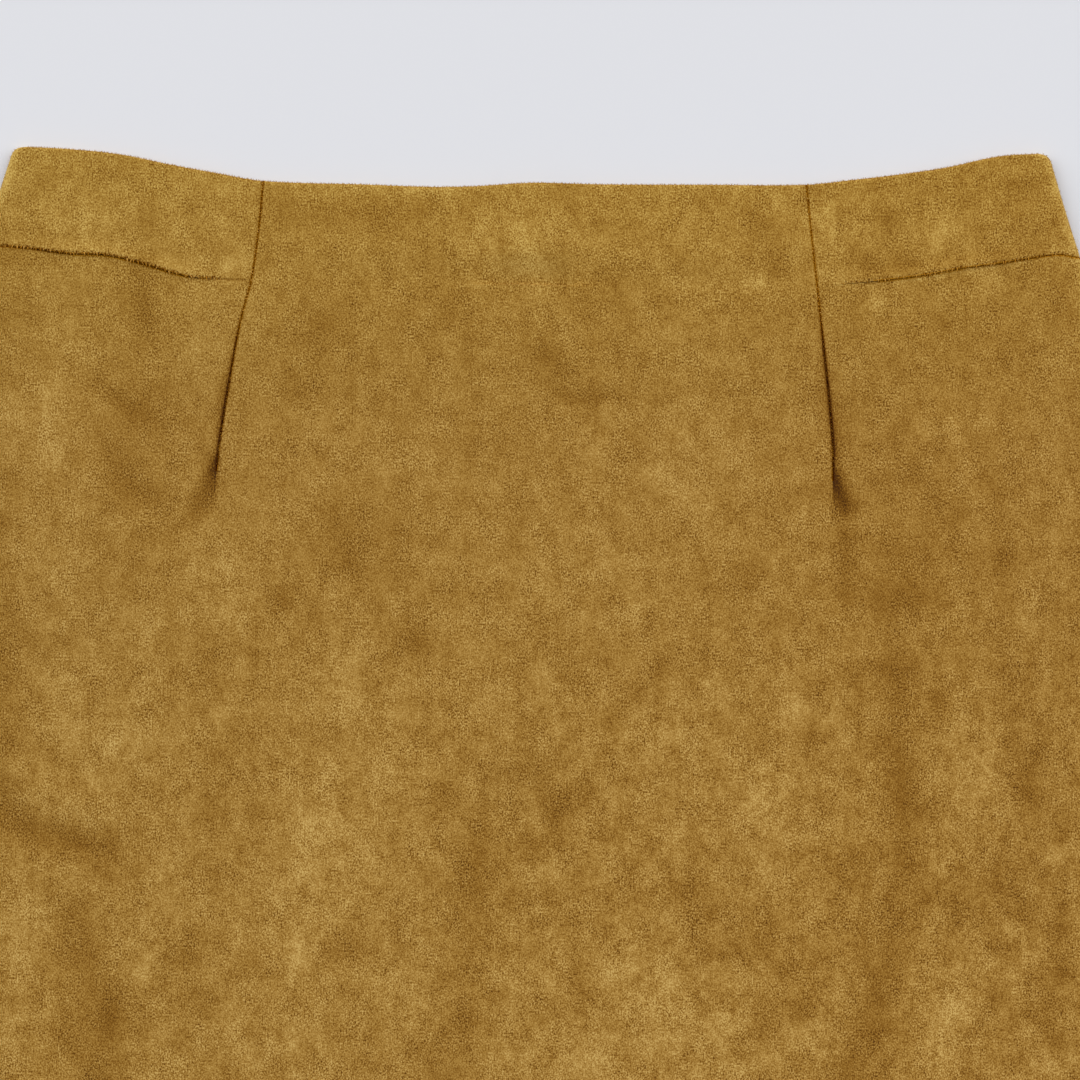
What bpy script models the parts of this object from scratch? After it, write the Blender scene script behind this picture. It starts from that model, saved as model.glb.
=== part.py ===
# A pencil skirt in faux suede, laid flat and face up on a surface, with its waist towards +Y.
# Metres, +Z up. The origin is under the middle of the skirt, on the surface that it lies on.
# Left and right are the wearer's, so the wearer's left is at +X.
# "below" is the distance towards the hem from the highest point of the waistband's top edge.

import math

import bmesh
import bpy

# Driving sizes, for a 71 cm waist, 94 cm hips and a knee length
LENGTH = 0.614  # from the highest point of the top edge to the lowest point of the hem
CLOTH = 0.0010  # one layer
DOUBLED = 0.0020  # the waistband, and the cloth turned up at the hem
SEAM_GAP = 0.0003  # between two pieces sewn together
AIR = 0.0006  # between the front and the back where both are doubled
FOLD = 2 * DOUBLED + AIR  # height over both layers where they meet at the side seam
REST_LEVEL = 0.0028  # top of the front where single cloth lies on single cloth
SEAM_LEVEL = 0.0041  # top of the front panel at the waist seam, under the proud band
FRONT_DART_END = 0.116  # below
BACK_DART_END = 0.150  # below
HEM_TURN = 0.030  # depth of the turned hem
HEM_STEP = 0.002  # length over which the cloth thickens to it
HEM_EASE = 0.020  # length over which the front rises to it, before that
CORNER = 0.003  # rounding of the waistband's top corners
VENT_TOP = 0.464  # below, where the walking slit at the centre back starts
VENT_OPEN = 0.006  # how far the slit's edges part at the hem
SIDE_EASE = 0.030  # breadth beside the fold where the front rises to meet it
WAIST_EASE = 0.050  # length under the waist seam where the front settles
BAND_EASE = 0.012  # length over which the front's middle leaves the band's level
SEAM_CLOSE = 0.018  # the waist seam closes up over this distance before it meets the upright seam
BACK_DIP = 0.002  # how much lower the back's top edge lies at the centre

# The zip at the centre back
DOME = 0.0015  # how far the pull tab holds the cloth off the surface
DOME_END = 0.035  # below, where the full lift ends
DOME_BREADTH = 0.005  # half breadth of the full lift
DOME_EASE = 0.016  # distance over which the lift dies away sideways
DOME_FALL = 0.013  # and lengthways, so that the panel under the band lies flat
ZIP_END = 0.205  # below
TAPE_HALF = 0.011
TAPE = 0.0006
COIL_HALF = 0.0018
COIL = 0.0004  # how far the coil stands above the tape
BAND_LAYER_HALF = 0.013  # the band's inner layer starts this far from the centre back
SLOT_HALF = 0.0027  # the slot that the slider sits in, between the back bands
SLOT_END = 0.29  # of the band's depth
SLOT_STEP = 0.008  # of the band's depth, over which the slot closes below the slider
ZIP_RISE = 0.0010  # what the tape and coil add to the front's height
ZIP_SETTLED = 0.0003  # how much of that is left below the zip, as a soft ridge
ZIP_SPREAD = 0.024
ZIP_FADE = 0.030
TAPE_START = 0.0012  # how far below the slot's end the tape starts
TAPE_FOLD = 0.006  # from the centre, where the tape bends over the cloth's lift
COIL_EDGE = 0.0003  # breadth of the slope beside the coil
TAPE_FIRST_ROW = -0.42  # the first of the band's rows that the tape shares

# The slider and its pull tab
SLIDER_WIDTH = 2 * (SLOT_HALF - SEAM_GAP)
SLIDER_LENGTH = 0.0084
SLIDER_HEIGHT = 0.0020
SLIDER_INSET = 0.0006  # below the back's top edge
SLIDER_ROUNDING = 0.0005
HINGE_HEIGHT = 0.0010
BAIL_WIDTH = 0.0014
BAIL_FOOT = 0.0001  # height of the bail's lowest face
BAIL_BAR = 0.00045
BAIL_REACH = 0.0026  # from the hinge to the outside of each leg
BAIL_LEG = 0.0007
TAB_LENGTH = 0.0140
TAB_WIDTH = 0.0056
TAB = 0.0005
TAB_ROUNDING = 0.0016
TAB_EYE_LENGTH = 0.0032
TAB_EYE_HALF = 0.0011
TAB_EYE_ROUNDING = 0.0003

# Outline tables, in metres
# distance from the centre, then how far below the top edge lies: wearer's left, wearer's right
TOP_EDGE = (
    (0.000, 0.0132, 0.0132),
    (0.030, 0.0131, 0.0149),
    (0.060, 0.0127, 0.0145),
    (0.093, 0.0122, 0.0139),
    (0.110, 0.0102, 0.0113),
    (0.125, 0.0082, 0.0088),
    (0.142, 0.0054, 0.0056),
    (0.160, 0.0013, 0.0040),
    (0.177, 0.0000, 0.0034),
)
# distance from the centre, then how far below the waist seam lies: left, right
WAIST_SEAM = (
    (0.097, 0.0482, 0.0481),
    (0.108, 0.0461, 0.0479),
    (0.117, 0.0451, 0.0475),
    (0.125, 0.0441, 0.0457),
    (0.135, 0.0426, 0.0428),
    (0.147, 0.0402, 0.0403),
    (0.160, 0.0383, 0.0400),
    (0.172, 0.0362, 0.0386),
    (0.181, 0.0349, 0.0379),
    (0.188, 0.0361, 0.0372),
)
# below, then the distance from the centre to the front's upright seam and dart: left, right
FRONT_DART = (
    (0.013, 0.0938, 0.0930),
    (0.030, 0.0958, 0.0943),
    (0.048, 0.0981, 0.0966),
    (0.063, 0.1000, 0.1003),
    (0.085, 0.1028, 0.1041),
    (0.102, 0.1045, 0.1066),
    (0.116, 0.1048, 0.1080),
    (0.250, 0.1150, 0.1160),
    (0.614, 0.1000, 0.1000),
)
# below, then half the skirt's width: left, right
SIDE_EDGE = (
    (0.000, 0.1772, 0.1783),
    (0.020, 0.1834, 0.1844),
    (0.034, 0.1881, 0.1889),
    (0.060, 0.1968, 0.1973),
    (0.090, 0.2062, 0.2066),
    (0.120, 0.2150, 0.2152),
    (0.160, 0.2245, 0.2245),
    (0.200, 0.2308, 0.2308),
    (0.250, 0.2340, 0.2340),
    (0.310, 0.2328, 0.2328),
    (0.400, 0.2265, 0.2265),
    (0.500, 0.2165, 0.2165),
    (0.614, 0.2050, 0.2050),
)
BACK_DART_OFF = 0.092  # from the centre, at the waist
BACK_DART_SPREAD = 0.006  # how much further out its point lies
HEM_RISE = 0.004  # how much higher the hem lies at the sides than at the centre

# Soft waves of the front: centre x, centre below, half length, half breadth, turn in degrees, height
WAVES = (
    (-0.150, 0.135, 0.060, 0.026, 14, 0.0012),
    (0.150, 0.175, 0.085, 0.030, -8, 0.0012),
    (-0.185, 0.330, 0.070, 0.034, 34, 0.0018),
    (0.128, 0.365, 0.130, 0.028, 5, 0.0018),
    (-0.070, 0.330, 0.120, 0.030, -6, 0.0010),
    (0.030, 0.430, 0.110, 0.034, 4, 0.0012),
    (-0.135, 0.570, 0.120, 0.030, 5, 0.0022),
    (0.055, 0.610, 0.100, 0.030, -4, 0.0019),
    (0.155, 0.590, 0.110, 0.022, -5, 0.0020),
)

# Columns across a panel: 0 is the centre, 1 the dart line, 2 the start of the side fold, 3 its end
CENTRE_COLUMNS = (0, 0.055, 0.15, 0.3, 0.5, 0.75)
BAND_CENTRE_COLUMNS = (0, 0.055, 0.137, 0.155, 0.42, 0.7)
SIDE_COLUMNS = (1, 1.15, 1.35, 1.55, 1.72, 1.86, 2, 2.3, 2.6, 2.83, 3)
# Rows down a panel: -1 is the top edge, 0 the waist seam, 1 the dart's point, 2 the hem
BAND_ROWS = (-1, -0.97, -0.91, SLOT_END - 1, SLOT_END - 1 + SLOT_STEP, TAPE_FIRST_ROW, -0.2, 0)
DART_ROWS = (0, 0.1, 0.25, 0.45, 0.7, 1)
HEM_ROWS = (1.94, 1.944, 1.97, 2)
PLAIN_ROWS = 17  # rows between the dart's point and the turned hem

SUEDE = (0.335, 0.180, 0.036)
TAPE_COLOUR = (0.20, 0.105, 0.022)
METAL_COLOUR = (0.60, 0.52, 0.36)


def ease(t):
    """0 to 1 with flat ends."""
    t = min(max(t, 0.0), 1.0)
    return t * t * (3 - 2 * t)


def smooth_line(rows, column, at):
    """A smooth line through a table's rows, read at a value of its first column."""
    points = [(row[0], row[column]) for row in rows]
    if at <= points[0][0]:
        return points[0][1]
    if at >= points[-1][0]:
        return points[-1][1]
    i = next(n for n in range(len(points) - 1) if at <= points[n + 1][0])
    before, start = points[max(i - 1, 0)], points[i]
    end, after = points[i + 1], points[min(i + 2, len(points) - 1)]
    span = end[0] - start[0]
    t = (at - start[0]) / span
    slope_start = (end[1] - before[1]) / (end[0] - before[0])
    slope_end = (after[1] - start[1]) / (after[0] - start[0])
    return (
        (2 * t**3 - 3 * t**2 + 1) * start[1]
        + (t**3 - 2 * t**2 + t) * span * slope_start
        + (3 * t**2 - 2 * t**3) * end[1]
        + (t**3 - t**2) * span * slope_end
    )


def side_column(x):
    """Which of a table's two side columns holds a place: 1 for the wearer's left, 2 for the right."""
    return 1 if x >= 0 else 2


def top_edge(x, back):
    dip = BACK_DIP * ease(1 - abs(x) / TOP_EDGE[-1][0]) if back else 0.0
    return smooth_line(TOP_EDGE, side_column(x), abs(x)) + dip


def waist_seam(x):
    return smooth_line(WAIST_SEAM, side_column(x), abs(x))


def hem_edge(x):
    return LENGTH - HEM_RISE * (abs(x) / SIDE_EDGE[-1][1]) ** 2


def dart_line(side, below, back):
    if back:
        return BACK_DART_OFF + BACK_DART_SPREAD * min(below / BACK_DART_END, 1.0)
    return smooth_line(FRONT_DART, side_column(side), below)


def side_edge(side, below):
    """Half the width, with the waistband's top corners rounded."""
    edge = smooth_line(SIDE_EDGE, side_column(side), below)
    depth = below - smooth_line(TOP_EDGE, side_column(side), TOP_EDGE[-1][0])
    if depth < CORNER:
        edge -= CORNER - math.sqrt(max(CORNER**2 - (CORNER - max(depth, 0.0)) ** 2, 0.0))
    return edge


def below_of(x, row, back):
    """How far below a row of the lattice lies at x."""
    dart_end = BACK_DART_END if back else FRONT_DART_END
    if row <= 0:
        return waist_seam(x) + row * (waist_seam(x) - top_edge(x, back))
    if row <= 1:
        return waist_seam(x) + row * (dart_end - waist_seam(x))
    return dart_end + (row - 1) * (hem_edge(x) - dart_end)


def across_of(column, below, back):
    """x of a column of the lattice, and how far round the side fold it lies."""
    side = math.copysign(1, column)
    place = abs(column)
    fold_start = side_edge(side, below) - FOLD / 2
    dart = dart_line(side, below, back)
    if place <= 1:
        return side * dart * place, 0.0
    if place <= 2:
        return side * (dart + (fold_start - dart) * (place - 1)), 0.0
    return side * fold_start, (place - 2) * math.pi / 2


def lattice_point(column, row, back):
    """(x, below, angle round the side fold). A row's depth depends on x and the reverse, so it is
    settled in a few steps."""
    below = below_of(0.0, row, back)
    for _ in range(8):
        x, angle = across_of(column, below, back)
        below = below_of(x, row, back)
    return x, below, angle


def wall(x, below, back, in_band):
    """The cloth is doubled in the waistband, except under the zip's tape, and at the turned hem."""
    if in_band:
        return CLOTH if back and abs(x) < BAND_LAYER_HALF else DOUBLED
    return CLOTH + (DOUBLED - CLOTH) * ease((below - (LENGTH - HEM_TURN - HEM_RISE)) / HEM_STEP)


def dome(x, below):
    """The lift over the pull tab."""
    sideways = ease(1 - (abs(x) - DOME_BREADTH) / DOME_EASE)
    along = ease(1 - (below - DOME_END) / DOME_FALL)
    return DOME * sideways * along


def wave_height(x, below):
    total = 0.0
    for centre_x, centre_below, half_length, half_breadth, turn, height in WAVES:
        angle = math.radians(turn)
        dx = x - centre_x
        dy = below - centre_below
        along = (dy * math.cos(angle) + dx * math.sin(angle)) / half_length
        sideways = (dx * math.cos(angle) - dy * math.sin(angle)) / half_breadth
        total += height * math.exp(-(along**2) - sideways**2)
    return total


def front_height(x, below, band):
    """Top of the front. A side band keeps its level down to the waist seam and stands proud of the
    panel, least beside the upright seam."""
    under_seam = below - waist_seam(x)
    settled = 0.0 if band else ease(under_seam / WAIST_EASE)
    beside = (abs(x) - dart_line(x, below, False)) / SEAM_CLOSE
    seam_level = SEAM_LEVEL + (FOLD - SEAM_LEVEL) * math.exp(-(beside**2))
    level = seam_level + (REST_LEVEL - seam_level) * settled
    if band:
        level = FOLD
    elif under_seam < 0:
        level = FOLD + (seam_level - FOLD) * ease(1 + under_seam / BAND_EASE)
    hem = ease((below - (LENGTH - HEM_TURN - HEM_STEP - HEM_EASE)) / HEM_EASE)
    level += (FOLD - REST_LEVEL) * hem
    zip_share = ease(1 - (below - ZIP_END) / ZIP_FADE) if under_seam > 0 else 0.0
    over_zip = ZIP_SETTLED * (1 - hem) + (ZIP_RISE - ZIP_SETTLED) * zip_share
    level += ease(1 - abs(x) / ZIP_SPREAD) * over_zip + dome(x, below)
    inland = (side_edge(x, below) - FOLD / 2 - abs(x)) / SIDE_EASE
    at_side = ease(1 - inland)
    level += wave_height(x, below) * (1 - at_side) * settled
    return level + (FOLD - level) * at_side


def place(column, row, inner, nudge, back, band=False):
    """World place of a lattice point on the outer (0) or inner (1) face of the wall."""
    x, below, angle = lattice_point(column, row, back)
    depth = inner * wall(x, below, back, band or row < 0)
    if back and column == 0:
        x += nudge[0] * (VENT_OPEN / 2) * max(below - VENT_TOP, 0.0) / (LENGTH - VENT_TOP)
        if row <= SLOT_END - 1:
            x += nudge[0] * (SLOT_HALF - SEAM_GAP / 2)
    middle = FOLD / 2
    radius = middle - depth
    if back:
        z = dome(x, below) + depth if angle == 0 else middle - radius * math.cos(angle)
        z = min(z, middle - SEAM_GAP / 2) if abs(column) > 2 else z
    else:
        z = front_height(x, below, band) - depth if angle == 0 else middle + radius * math.cos(angle)
        z = max(z, middle + SEAM_GAP / 2) if abs(column) > 2 else z
    x += math.copysign(radius * math.sin(angle), x) + nudge[0] * SEAM_GAP / 2
    below += nudge[1] * SEAM_GAP / 2
    return x, LENGTH / 2 - below, z


def material(name, colour, roughness, metallic=0.0):
    made = bpy.data.materials.new(name)
    made.use_nodes = True
    shader = made.node_tree.nodes["Principled BSDF"]
    shader.inputs["Base Color"].default_value = (*colour, 1)
    shader.inputs["Roughness"].default_value = roughness
    shader.inputs["Metallic"].default_value = metallic
    made.diffuse_color = (*colour, 1)
    return made


def add_object(name, mesh, finish, collection):
    obj = bpy.data.objects.new(name, mesh)
    collection.objects.link(obj)
    mesh.materials.append(finish)
    return obj


def towards_faces(vertex):
    """Which way, in lattice steps, a vertex's own faces lie from it."""
    faces = vertex.link_faces
    centres = [face.calc_center_median() for face in faces]
    dx = sum(c.x for c in centres) / len(centres) - vertex.co.x
    dy = sum(c.y for c in centres) / len(centres) - vertex.co.y
    return [0 if abs(d) < 0.25 else math.copysign(1, d) for d in (dx, dy)]


def cloth_piece(name, columns, rows, back, finish, collection, kept=None, slits=()):
    """A wall of cloth: a flat lattice is cut to the pattern piece, slit at its darts, given two faces
    and then laid in place. kept(column, row) says which cells the piece has; slits are columns that
    are open from the waist seam to the dart's point."""
    bm = bmesh.new()
    steps = (len(columns) - 1, len(rows) - 1)
    bmesh.ops.create_grid(bm, x_segments=steps[0], y_segments=steps[1], size=0.5)
    for vertex in bm.verts:
        vertex.co.x = round((vertex.co.x + 0.5) * steps[0])
        vertex.co.y = round((0.5 - vertex.co.y) * steps[1])
    if kept:
        cells = [f for f in bm.faces if not kept(*middle_of_cell(f, columns, rows))]
        bmesh.ops.delete(bm, geom=cells, context="FACES")
    slit_places = [columns.index(c) for c in slits]
    slit_edges = [e for e in bm.edges if on_slit(e, slit_places, rows)]
    bmesh.ops.split_edges(bm, edges=slit_edges)
    nudges = {}
    for vertex in bm.verts:
        column = columns[round(vertex.co.x)]
        row = rows[round(vertex.co.y)]
        way = towards_faces(vertex)
        sideways = way[0] if column in (-1, 0, 1) and (row < 1 or column == 0) else 0
        lengthways = way[1] if row == 0 else 0
        nudges[vertex] = (sideways, lengthways)
    for vertex, way in nudges.items():
        vertex.co.x += 0.1 * way[0]
        vertex.co.y += 0.1 * way[1]
    bmesh.ops.solidify(bm, geom=bm.faces[:], thickness=1)
    band = rows[-1] == 0
    for vertex in bm.verts:
        u = round(vertex.co.x)
        v = round(vertex.co.y)
        nudge = (round((vertex.co.x - u) * 10), round((vertex.co.y - v) * 10))
        inner = round(abs(vertex.co.z))
        vertex.co = place(columns[u], rows[v], inner, nudge, back, band)
    mesh = closed_mesh(name, bm)
    mesh.shade_smooth()
    mesh.set_sharp_from_angle(angle=math.radians(40))
    return add_object(name, mesh, finish, collection)


def closed_mesh(name, bm):
    """The mesh of a closed body, with its faces turned outwards."""
    bmesh.ops.recalc_face_normals(bm, faces=bm.faces[:])
    if bm.calc_volume(signed=True) < 0:
        bmesh.ops.reverse_faces(bm, faces=bm.faces[:])
    mesh = bpy.data.meshes.new(name)
    bm.to_mesh(mesh)
    bm.free()
    return mesh


def middle_of_cell(face, columns, rows):
    centre = face.calc_center_median()
    column = (columns[int(centre.x)] + columns[int(centre.x) + 1]) / 2
    row = (rows[int(centre.y)] + rows[int(centre.y) + 1]) / 2
    return column, row


def on_slit(edge, slit_places, rows):
    start, end = (v.co for v in edge.verts)
    upright = start.x == end.x and round(start.x) in slit_places
    return upright and all(0 <= rows[round(p.y)] <= 1 for p in (start, end))


def spread(start, end, count):
    """Even steps after start, up to but not on end."""
    return tuple(start + (end - start) * n / (count + 1) for n in range(1, count + 1))


def mirrored(columns):
    return tuple(-c for c in reversed(columns))


def make_cloth(suede, collection):
    panel_rows = DART_ROWS + spread(1, HEM_ROWS[0], PLAIN_ROWS) + HEM_ROWS
    outer = CENTRE_COLUMNS[1:] + SIDE_COLUMNS
    cloth_piece(
        "front_panel",
        mirrored(outer) + (0,) + outer,
        BAND_ROWS[:-1] + panel_rows,
        False,
        suede,
        collection,
        kept=lambda column, row: abs(column) < 1 or row > 0,
        slits=(-1, 1),
    )
    half = CENTRE_COLUMNS + SIDE_COLUMNS
    back_band = BAND_CENTRE_COLUMNS + SIDE_COLUMNS
    for side in ("left", "right"):
        turn = tuple if side == "left" else mirrored
        dart = 1 if side == "left" else -1
        cloth_piece(f"front_band_{side}", turn(SIDE_COLUMNS), BAND_ROWS, False, suede, collection)
        cloth_piece(f"back_band_{side}", turn(back_band), BAND_ROWS, True, suede, collection)
        cloth_piece(
            f"back_panel_{side}", turn(half), panel_rows, True, suede, collection, slits=(dart,)
        )


def make_tape(finish, collection):
    """The closed zip's two tapes with the coil standing along their middle, on the back's inner face."""
    top = top_edge(0.0, True)
    start = top + SLOT_END * (waist_seam(0.0) - top) + TAPE_START
    half = (COIL_HALF, COIL_HALF + COIL_EDGE, TAPE_FOLD, TAPE_HALF)
    offsets = mirrored(half) + half
    band_belows = tuple(below_of(0.0, row, True) for row in BAND_ROWS if row >= TAPE_FIRST_ROW)
    belows = (start,) + band_belows + spread(band_belows[-1], ZIP_END, 12) + (ZIP_END,)
    bm = bmesh.new()
    steps = (len(offsets) - 1, len(belows) - 1)
    bmesh.ops.create_grid(bm, x_segments=steps[0], y_segments=steps[1], size=0.5)
    bmesh.ops.solidify(bm, geom=bm.faces[:], thickness=1)
    for vertex in bm.verts:
        x = offsets[round((vertex.co.x + 0.5) * steps[0])]
        below = belows[round((0.5 - vertex.co.y) * steps[1])]
        bottom = dome(x, below) + CLOTH + SEAM_GAP
        coil = COIL if abs(x) <= COIL_HALF else 0.0
        upper = abs(vertex.co.z) < 0.5
        vertex.co = (x, LENGTH / 2 - below, bottom + (TAPE + coil if upper else 0.0))
    add_object("zip_tape", closed_mesh("zip_tape", bm), finish, collection)


def box_mesh(name, low, high):
    bm = bmesh.new()
    bmesh.ops.create_cube(bm, size=1)
    for vertex in bm.verts:
        for axis in range(3):
            vertex.co[axis] = high[axis] if vertex.co[axis] > 0 else low[axis]
    return closed_mesh(name, bm)


def hinge_place():
    """y of the pull tab's hinge, at the middle of the slider."""
    return LENGTH / 2 - (top_edge(0.0, True) + SLIDER_INSET + SLIDER_LENGTH / 2)


def make_slider(finish, collection, cutters):
    """The slider fills the slot at the top of the zip. Its bail stands out on the skirt's outer side."""
    hinge_y = hinge_place()
    half = SLIDER_WIDTH / 2
    low = (-half, hinge_y - SLIDER_LENGTH / 2, DOME)
    high = (half, hinge_y + SLIDER_LENGTH / 2, DOME + SLIDER_HEIGHT)
    slider = add_object("zip_slider", box_mesh("zip_slider", low, high), finish, collection)
    bevel = slider.modifiers.new("rounded", "BEVEL")
    bevel.width = SLIDER_ROUNDING
    bevel.segments = 2
    low = (-BAIL_WIDTH / 2, hinge_y - BAIL_REACH, BAIL_FOOT)
    high = (BAIL_WIDTH / 2, hinge_y + BAIL_REACH, DOME + SLIDER_HEIGHT / 2)
    bail = add_object("bail_block", box_mesh("bail_block", low, high), finish, cutters)
    reach = BAIL_REACH - BAIL_LEG
    low = (-BAIL_WIDTH, hinge_y - reach, BAIL_FOOT + BAIL_BAR)
    high = (BAIL_WIDTH, hinge_y + reach, DOME)
    window = add_object("bail_window", box_mesh("bail_window", low, high), finish, cutters)
    for helper, operation in ((bail, "UNION"), (window, "DIFFERENCE")):
        helper.hide_render = True
        helper.display_type = "WIRE"
        cut = slider.modifiers.new(helper.name, "BOOLEAN")
        cut.operation = operation
        cut.object = helper


def tab_outline(half_width, near, far, rounding, steps):
    """A closed rounded outline from near to far, as points for a flat curve."""
    corners = (
        (half_width, near, 0),
        (half_width, far, 270),
        (-half_width, far, 180),
        (-half_width, near, 90),
    )
    points = []
    for x, y, start in corners:
        centre_x = x - math.copysign(rounding, x)
        centre_y = y + (-rounding if y == near else rounding)
        for n in range(steps + 1):
            angle = math.radians(start + 90 - 90 * n / steps)
            points.append((centre_x + rounding * math.cos(angle), centre_y + rounding * math.sin(angle), 0))
    return points


def make_pull(finish, collection):
    """A flat tab whose eye holds the bail. Its origin is on its hinge."""
    curve = bpy.data.curves.new("zip_pull", "CURVE")
    curve.dimensions = "2D"
    curve.fill_mode = "BOTH"
    curve.extrude = TAB / 2
    outer = tab_outline(TAB_WIDTH / 2, TAB / 2, TAB / 2 - TAB_LENGTH, TAB_ROUNDING, 4)
    eye = tab_outline(TAB_EYE_HALF, -TAB / 2, -TAB / 2 - TAB_EYE_LENGTH, TAB_EYE_ROUNDING, 2)
    for points in (outer, eye):
        spline = curve.splines.new("POLY")
        spline.points.add(len(points) - 1)
        for point, place_of in zip(spline.points, points):
            point.co = (*place_of, 1)
        spline.use_cyclic_u = True
    pull = add_object("zip_pull", curve, finish, collection)
    pull.location = (0, hinge_place(), HINGE_HEIGHT)


def main():
    for obj in list(bpy.data.objects):
        bpy.data.objects.remove(obj)
    skirt = bpy.data.collections.new("pencil_skirt")
    cutters = bpy.data.collections.new("cutters")
    bpy.context.scene.collection.children.link(skirt)
    bpy.context.scene.collection.children.link(cutters)
    suede = material("faux_suede", SUEDE, 0.95)
    tape = material("zip_tape", TAPE_COLOUR, 0.85)
    metal = material("zip_metal", METAL_COLOUR, 0.35, 1.0)
    make_cloth(suede, skirt)
    make_tape(tape, skirt)
    make_slider(metal, skirt, cutters)
    make_pull(metal, skirt)


main()
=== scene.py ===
# Looks of a faux suede pencil skirt, laid flat and face up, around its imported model.
# Metres, +Z up. The waist is towards +Y, and the wearer's left is at +X.
# "below" is the distance towards the hem from the highest point of the top edge.
import math
import random

import bmesh
import bpy
import numpy as np
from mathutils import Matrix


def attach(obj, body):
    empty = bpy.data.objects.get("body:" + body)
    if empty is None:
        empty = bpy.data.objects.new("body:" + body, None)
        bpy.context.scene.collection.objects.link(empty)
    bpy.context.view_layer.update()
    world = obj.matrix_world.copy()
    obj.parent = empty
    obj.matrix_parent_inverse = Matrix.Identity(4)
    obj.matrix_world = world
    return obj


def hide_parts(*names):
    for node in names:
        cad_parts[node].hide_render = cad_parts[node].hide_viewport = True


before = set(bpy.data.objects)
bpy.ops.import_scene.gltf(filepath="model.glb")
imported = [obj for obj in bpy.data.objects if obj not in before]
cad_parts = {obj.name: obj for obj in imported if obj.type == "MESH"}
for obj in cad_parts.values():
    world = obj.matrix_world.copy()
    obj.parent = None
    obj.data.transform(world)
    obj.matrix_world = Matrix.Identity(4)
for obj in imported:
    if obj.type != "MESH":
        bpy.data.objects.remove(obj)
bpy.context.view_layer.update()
print("frame loaded")

mm = 0.001

# the pattern: what each cloth piece is cut and laid to
pattern = {
    "length": 0.614,
    "cloth": 0.0010,  # one layer
    "doubled": 0.0020,  # waistband and turned hem
    "seamGap": 0.00012,  # pressed close, as the nap fills it
    "fold": 0.0046,  # height over both layers at the side
    "restLevel": 0.0028,  # top of the front where it lies on the back
    "seamLevel": 0.0041,  # and at the waist seams
    "frontDartEnd": 0.116,
    "backDartEnd": 0.150,
    "hemTurn": 0.030,
    "hemStep": 0.002,
    "hemEase": 0.020,
    "corner": 0.003,  # radius at the waistband's top corners
    "ventTop": 0.464,  # the back's walking slit
    "ventOpen": 0.006,
    "sideEase": 0.030,  # breadth over which the front rises to the side fold
    "waistEase": 0.050,  # length over which it comes to rest below the waist seams
    "bandEase": 0.012,
    "seamClose": 0.018,  # how far its rise at the upright seams reaches
    "backDip": 0.002,  # the back's top edge lies lower in the middle
    "backDartOff": 0.092,
    "backDartSpread": 0.006,
    "hemRise": 0.004,  # the hem curves up towards the sides
}
zipPlace = {
    "dome": 0.0015,  # lift of the cloth over the pull tab
    "domeEnd": 0.035,
    "domeBreadth": 0.005,
    "domeEase": 0.016,
    "domeFall": 0.013,
    "end": 0.205,  # of the tapes
    "tapeHalf": 0.011,
    "tape": 0.0006,
    "bandLayerHalf": 0.013,  # the back band is one layer this near the zip
    "slotHalf": 0.0027,
    "slotEnd": 0.29,
    "slotEase": 0.06,  # share of the waistband over which the slot narrows to the seam
    "drawnAside": 0.010,  # how far from the middle the cloth gives way to the slot and the slit
    "rise": 0.0010,  # of the front over the zip, which fades out below it
    "spread": 0.024,
    "settled": 0.0003,
    "fade": 0.030,
    "tapeStart": 0.0012,
    "sewn": 0.0003,  # gap between two pieces in the model
}
# distance from the centre, then how far below it lies: wearer's left, wearer's right
topEdgeLine = (
    (0.000, 0.0132, 0.0132),
    (0.030, 0.0131, 0.0149),
    (0.060, 0.0127, 0.0145),
    (0.093, 0.0122, 0.0139),
    (0.110, 0.0102, 0.0113),
    (0.125, 0.0082, 0.0088),
    (0.142, 0.0054, 0.0056),
    (0.160, 0.0013, 0.0040),
    (0.177, 0.0000, 0.0034),
)
waistSeamLine = (
    (0.097, 0.0482, 0.0481),
    (0.108, 0.0461, 0.0479),
    (0.117, 0.0451, 0.0475),
    (0.125, 0.0441, 0.0457),
    (0.135, 0.0426, 0.0428),
    (0.147, 0.0402, 0.0403),
    (0.160, 0.0383, 0.0400),
    (0.172, 0.0362, 0.0386),
    (0.181, 0.0349, 0.0379),
    (0.188, 0.0361, 0.0372),
)
# below, then how far out the front's upright seam and dart run: left, right
frontDartLine = (
    (0.013, 0.0938, 0.0930),
    (0.030, 0.0958, 0.0943),
    (0.048, 0.0981, 0.0966),
    (0.063, 0.1000, 0.1003),
    (0.085, 0.1028, 0.1041),
    (0.102, 0.1045, 0.1066),
    (0.116, 0.1048, 0.1080),
    (0.250, 0.1150, 0.1160),
    (0.614, 0.1000, 0.1000),
)
# below, then half the width: left, right
sideLine = (
    (0.000, 0.1772, 0.1783),
    (0.020, 0.1834, 0.1844),
    (0.034, 0.1881, 0.1889),
    (0.060, 0.1968, 0.1973),
    (0.090, 0.2062, 0.2066),
    (0.120, 0.2150, 0.2152),
    (0.160, 0.2245, 0.2245),
    (0.200, 0.2308, 0.2308),
    (0.250, 0.2340, 0.2340),
    (0.310, 0.2328, 0.2328),
    (0.400, 0.2265, 0.2265),
    (0.500, 0.2165, 0.2165),
    (0.614, 0.2050, 0.2050),
)
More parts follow.
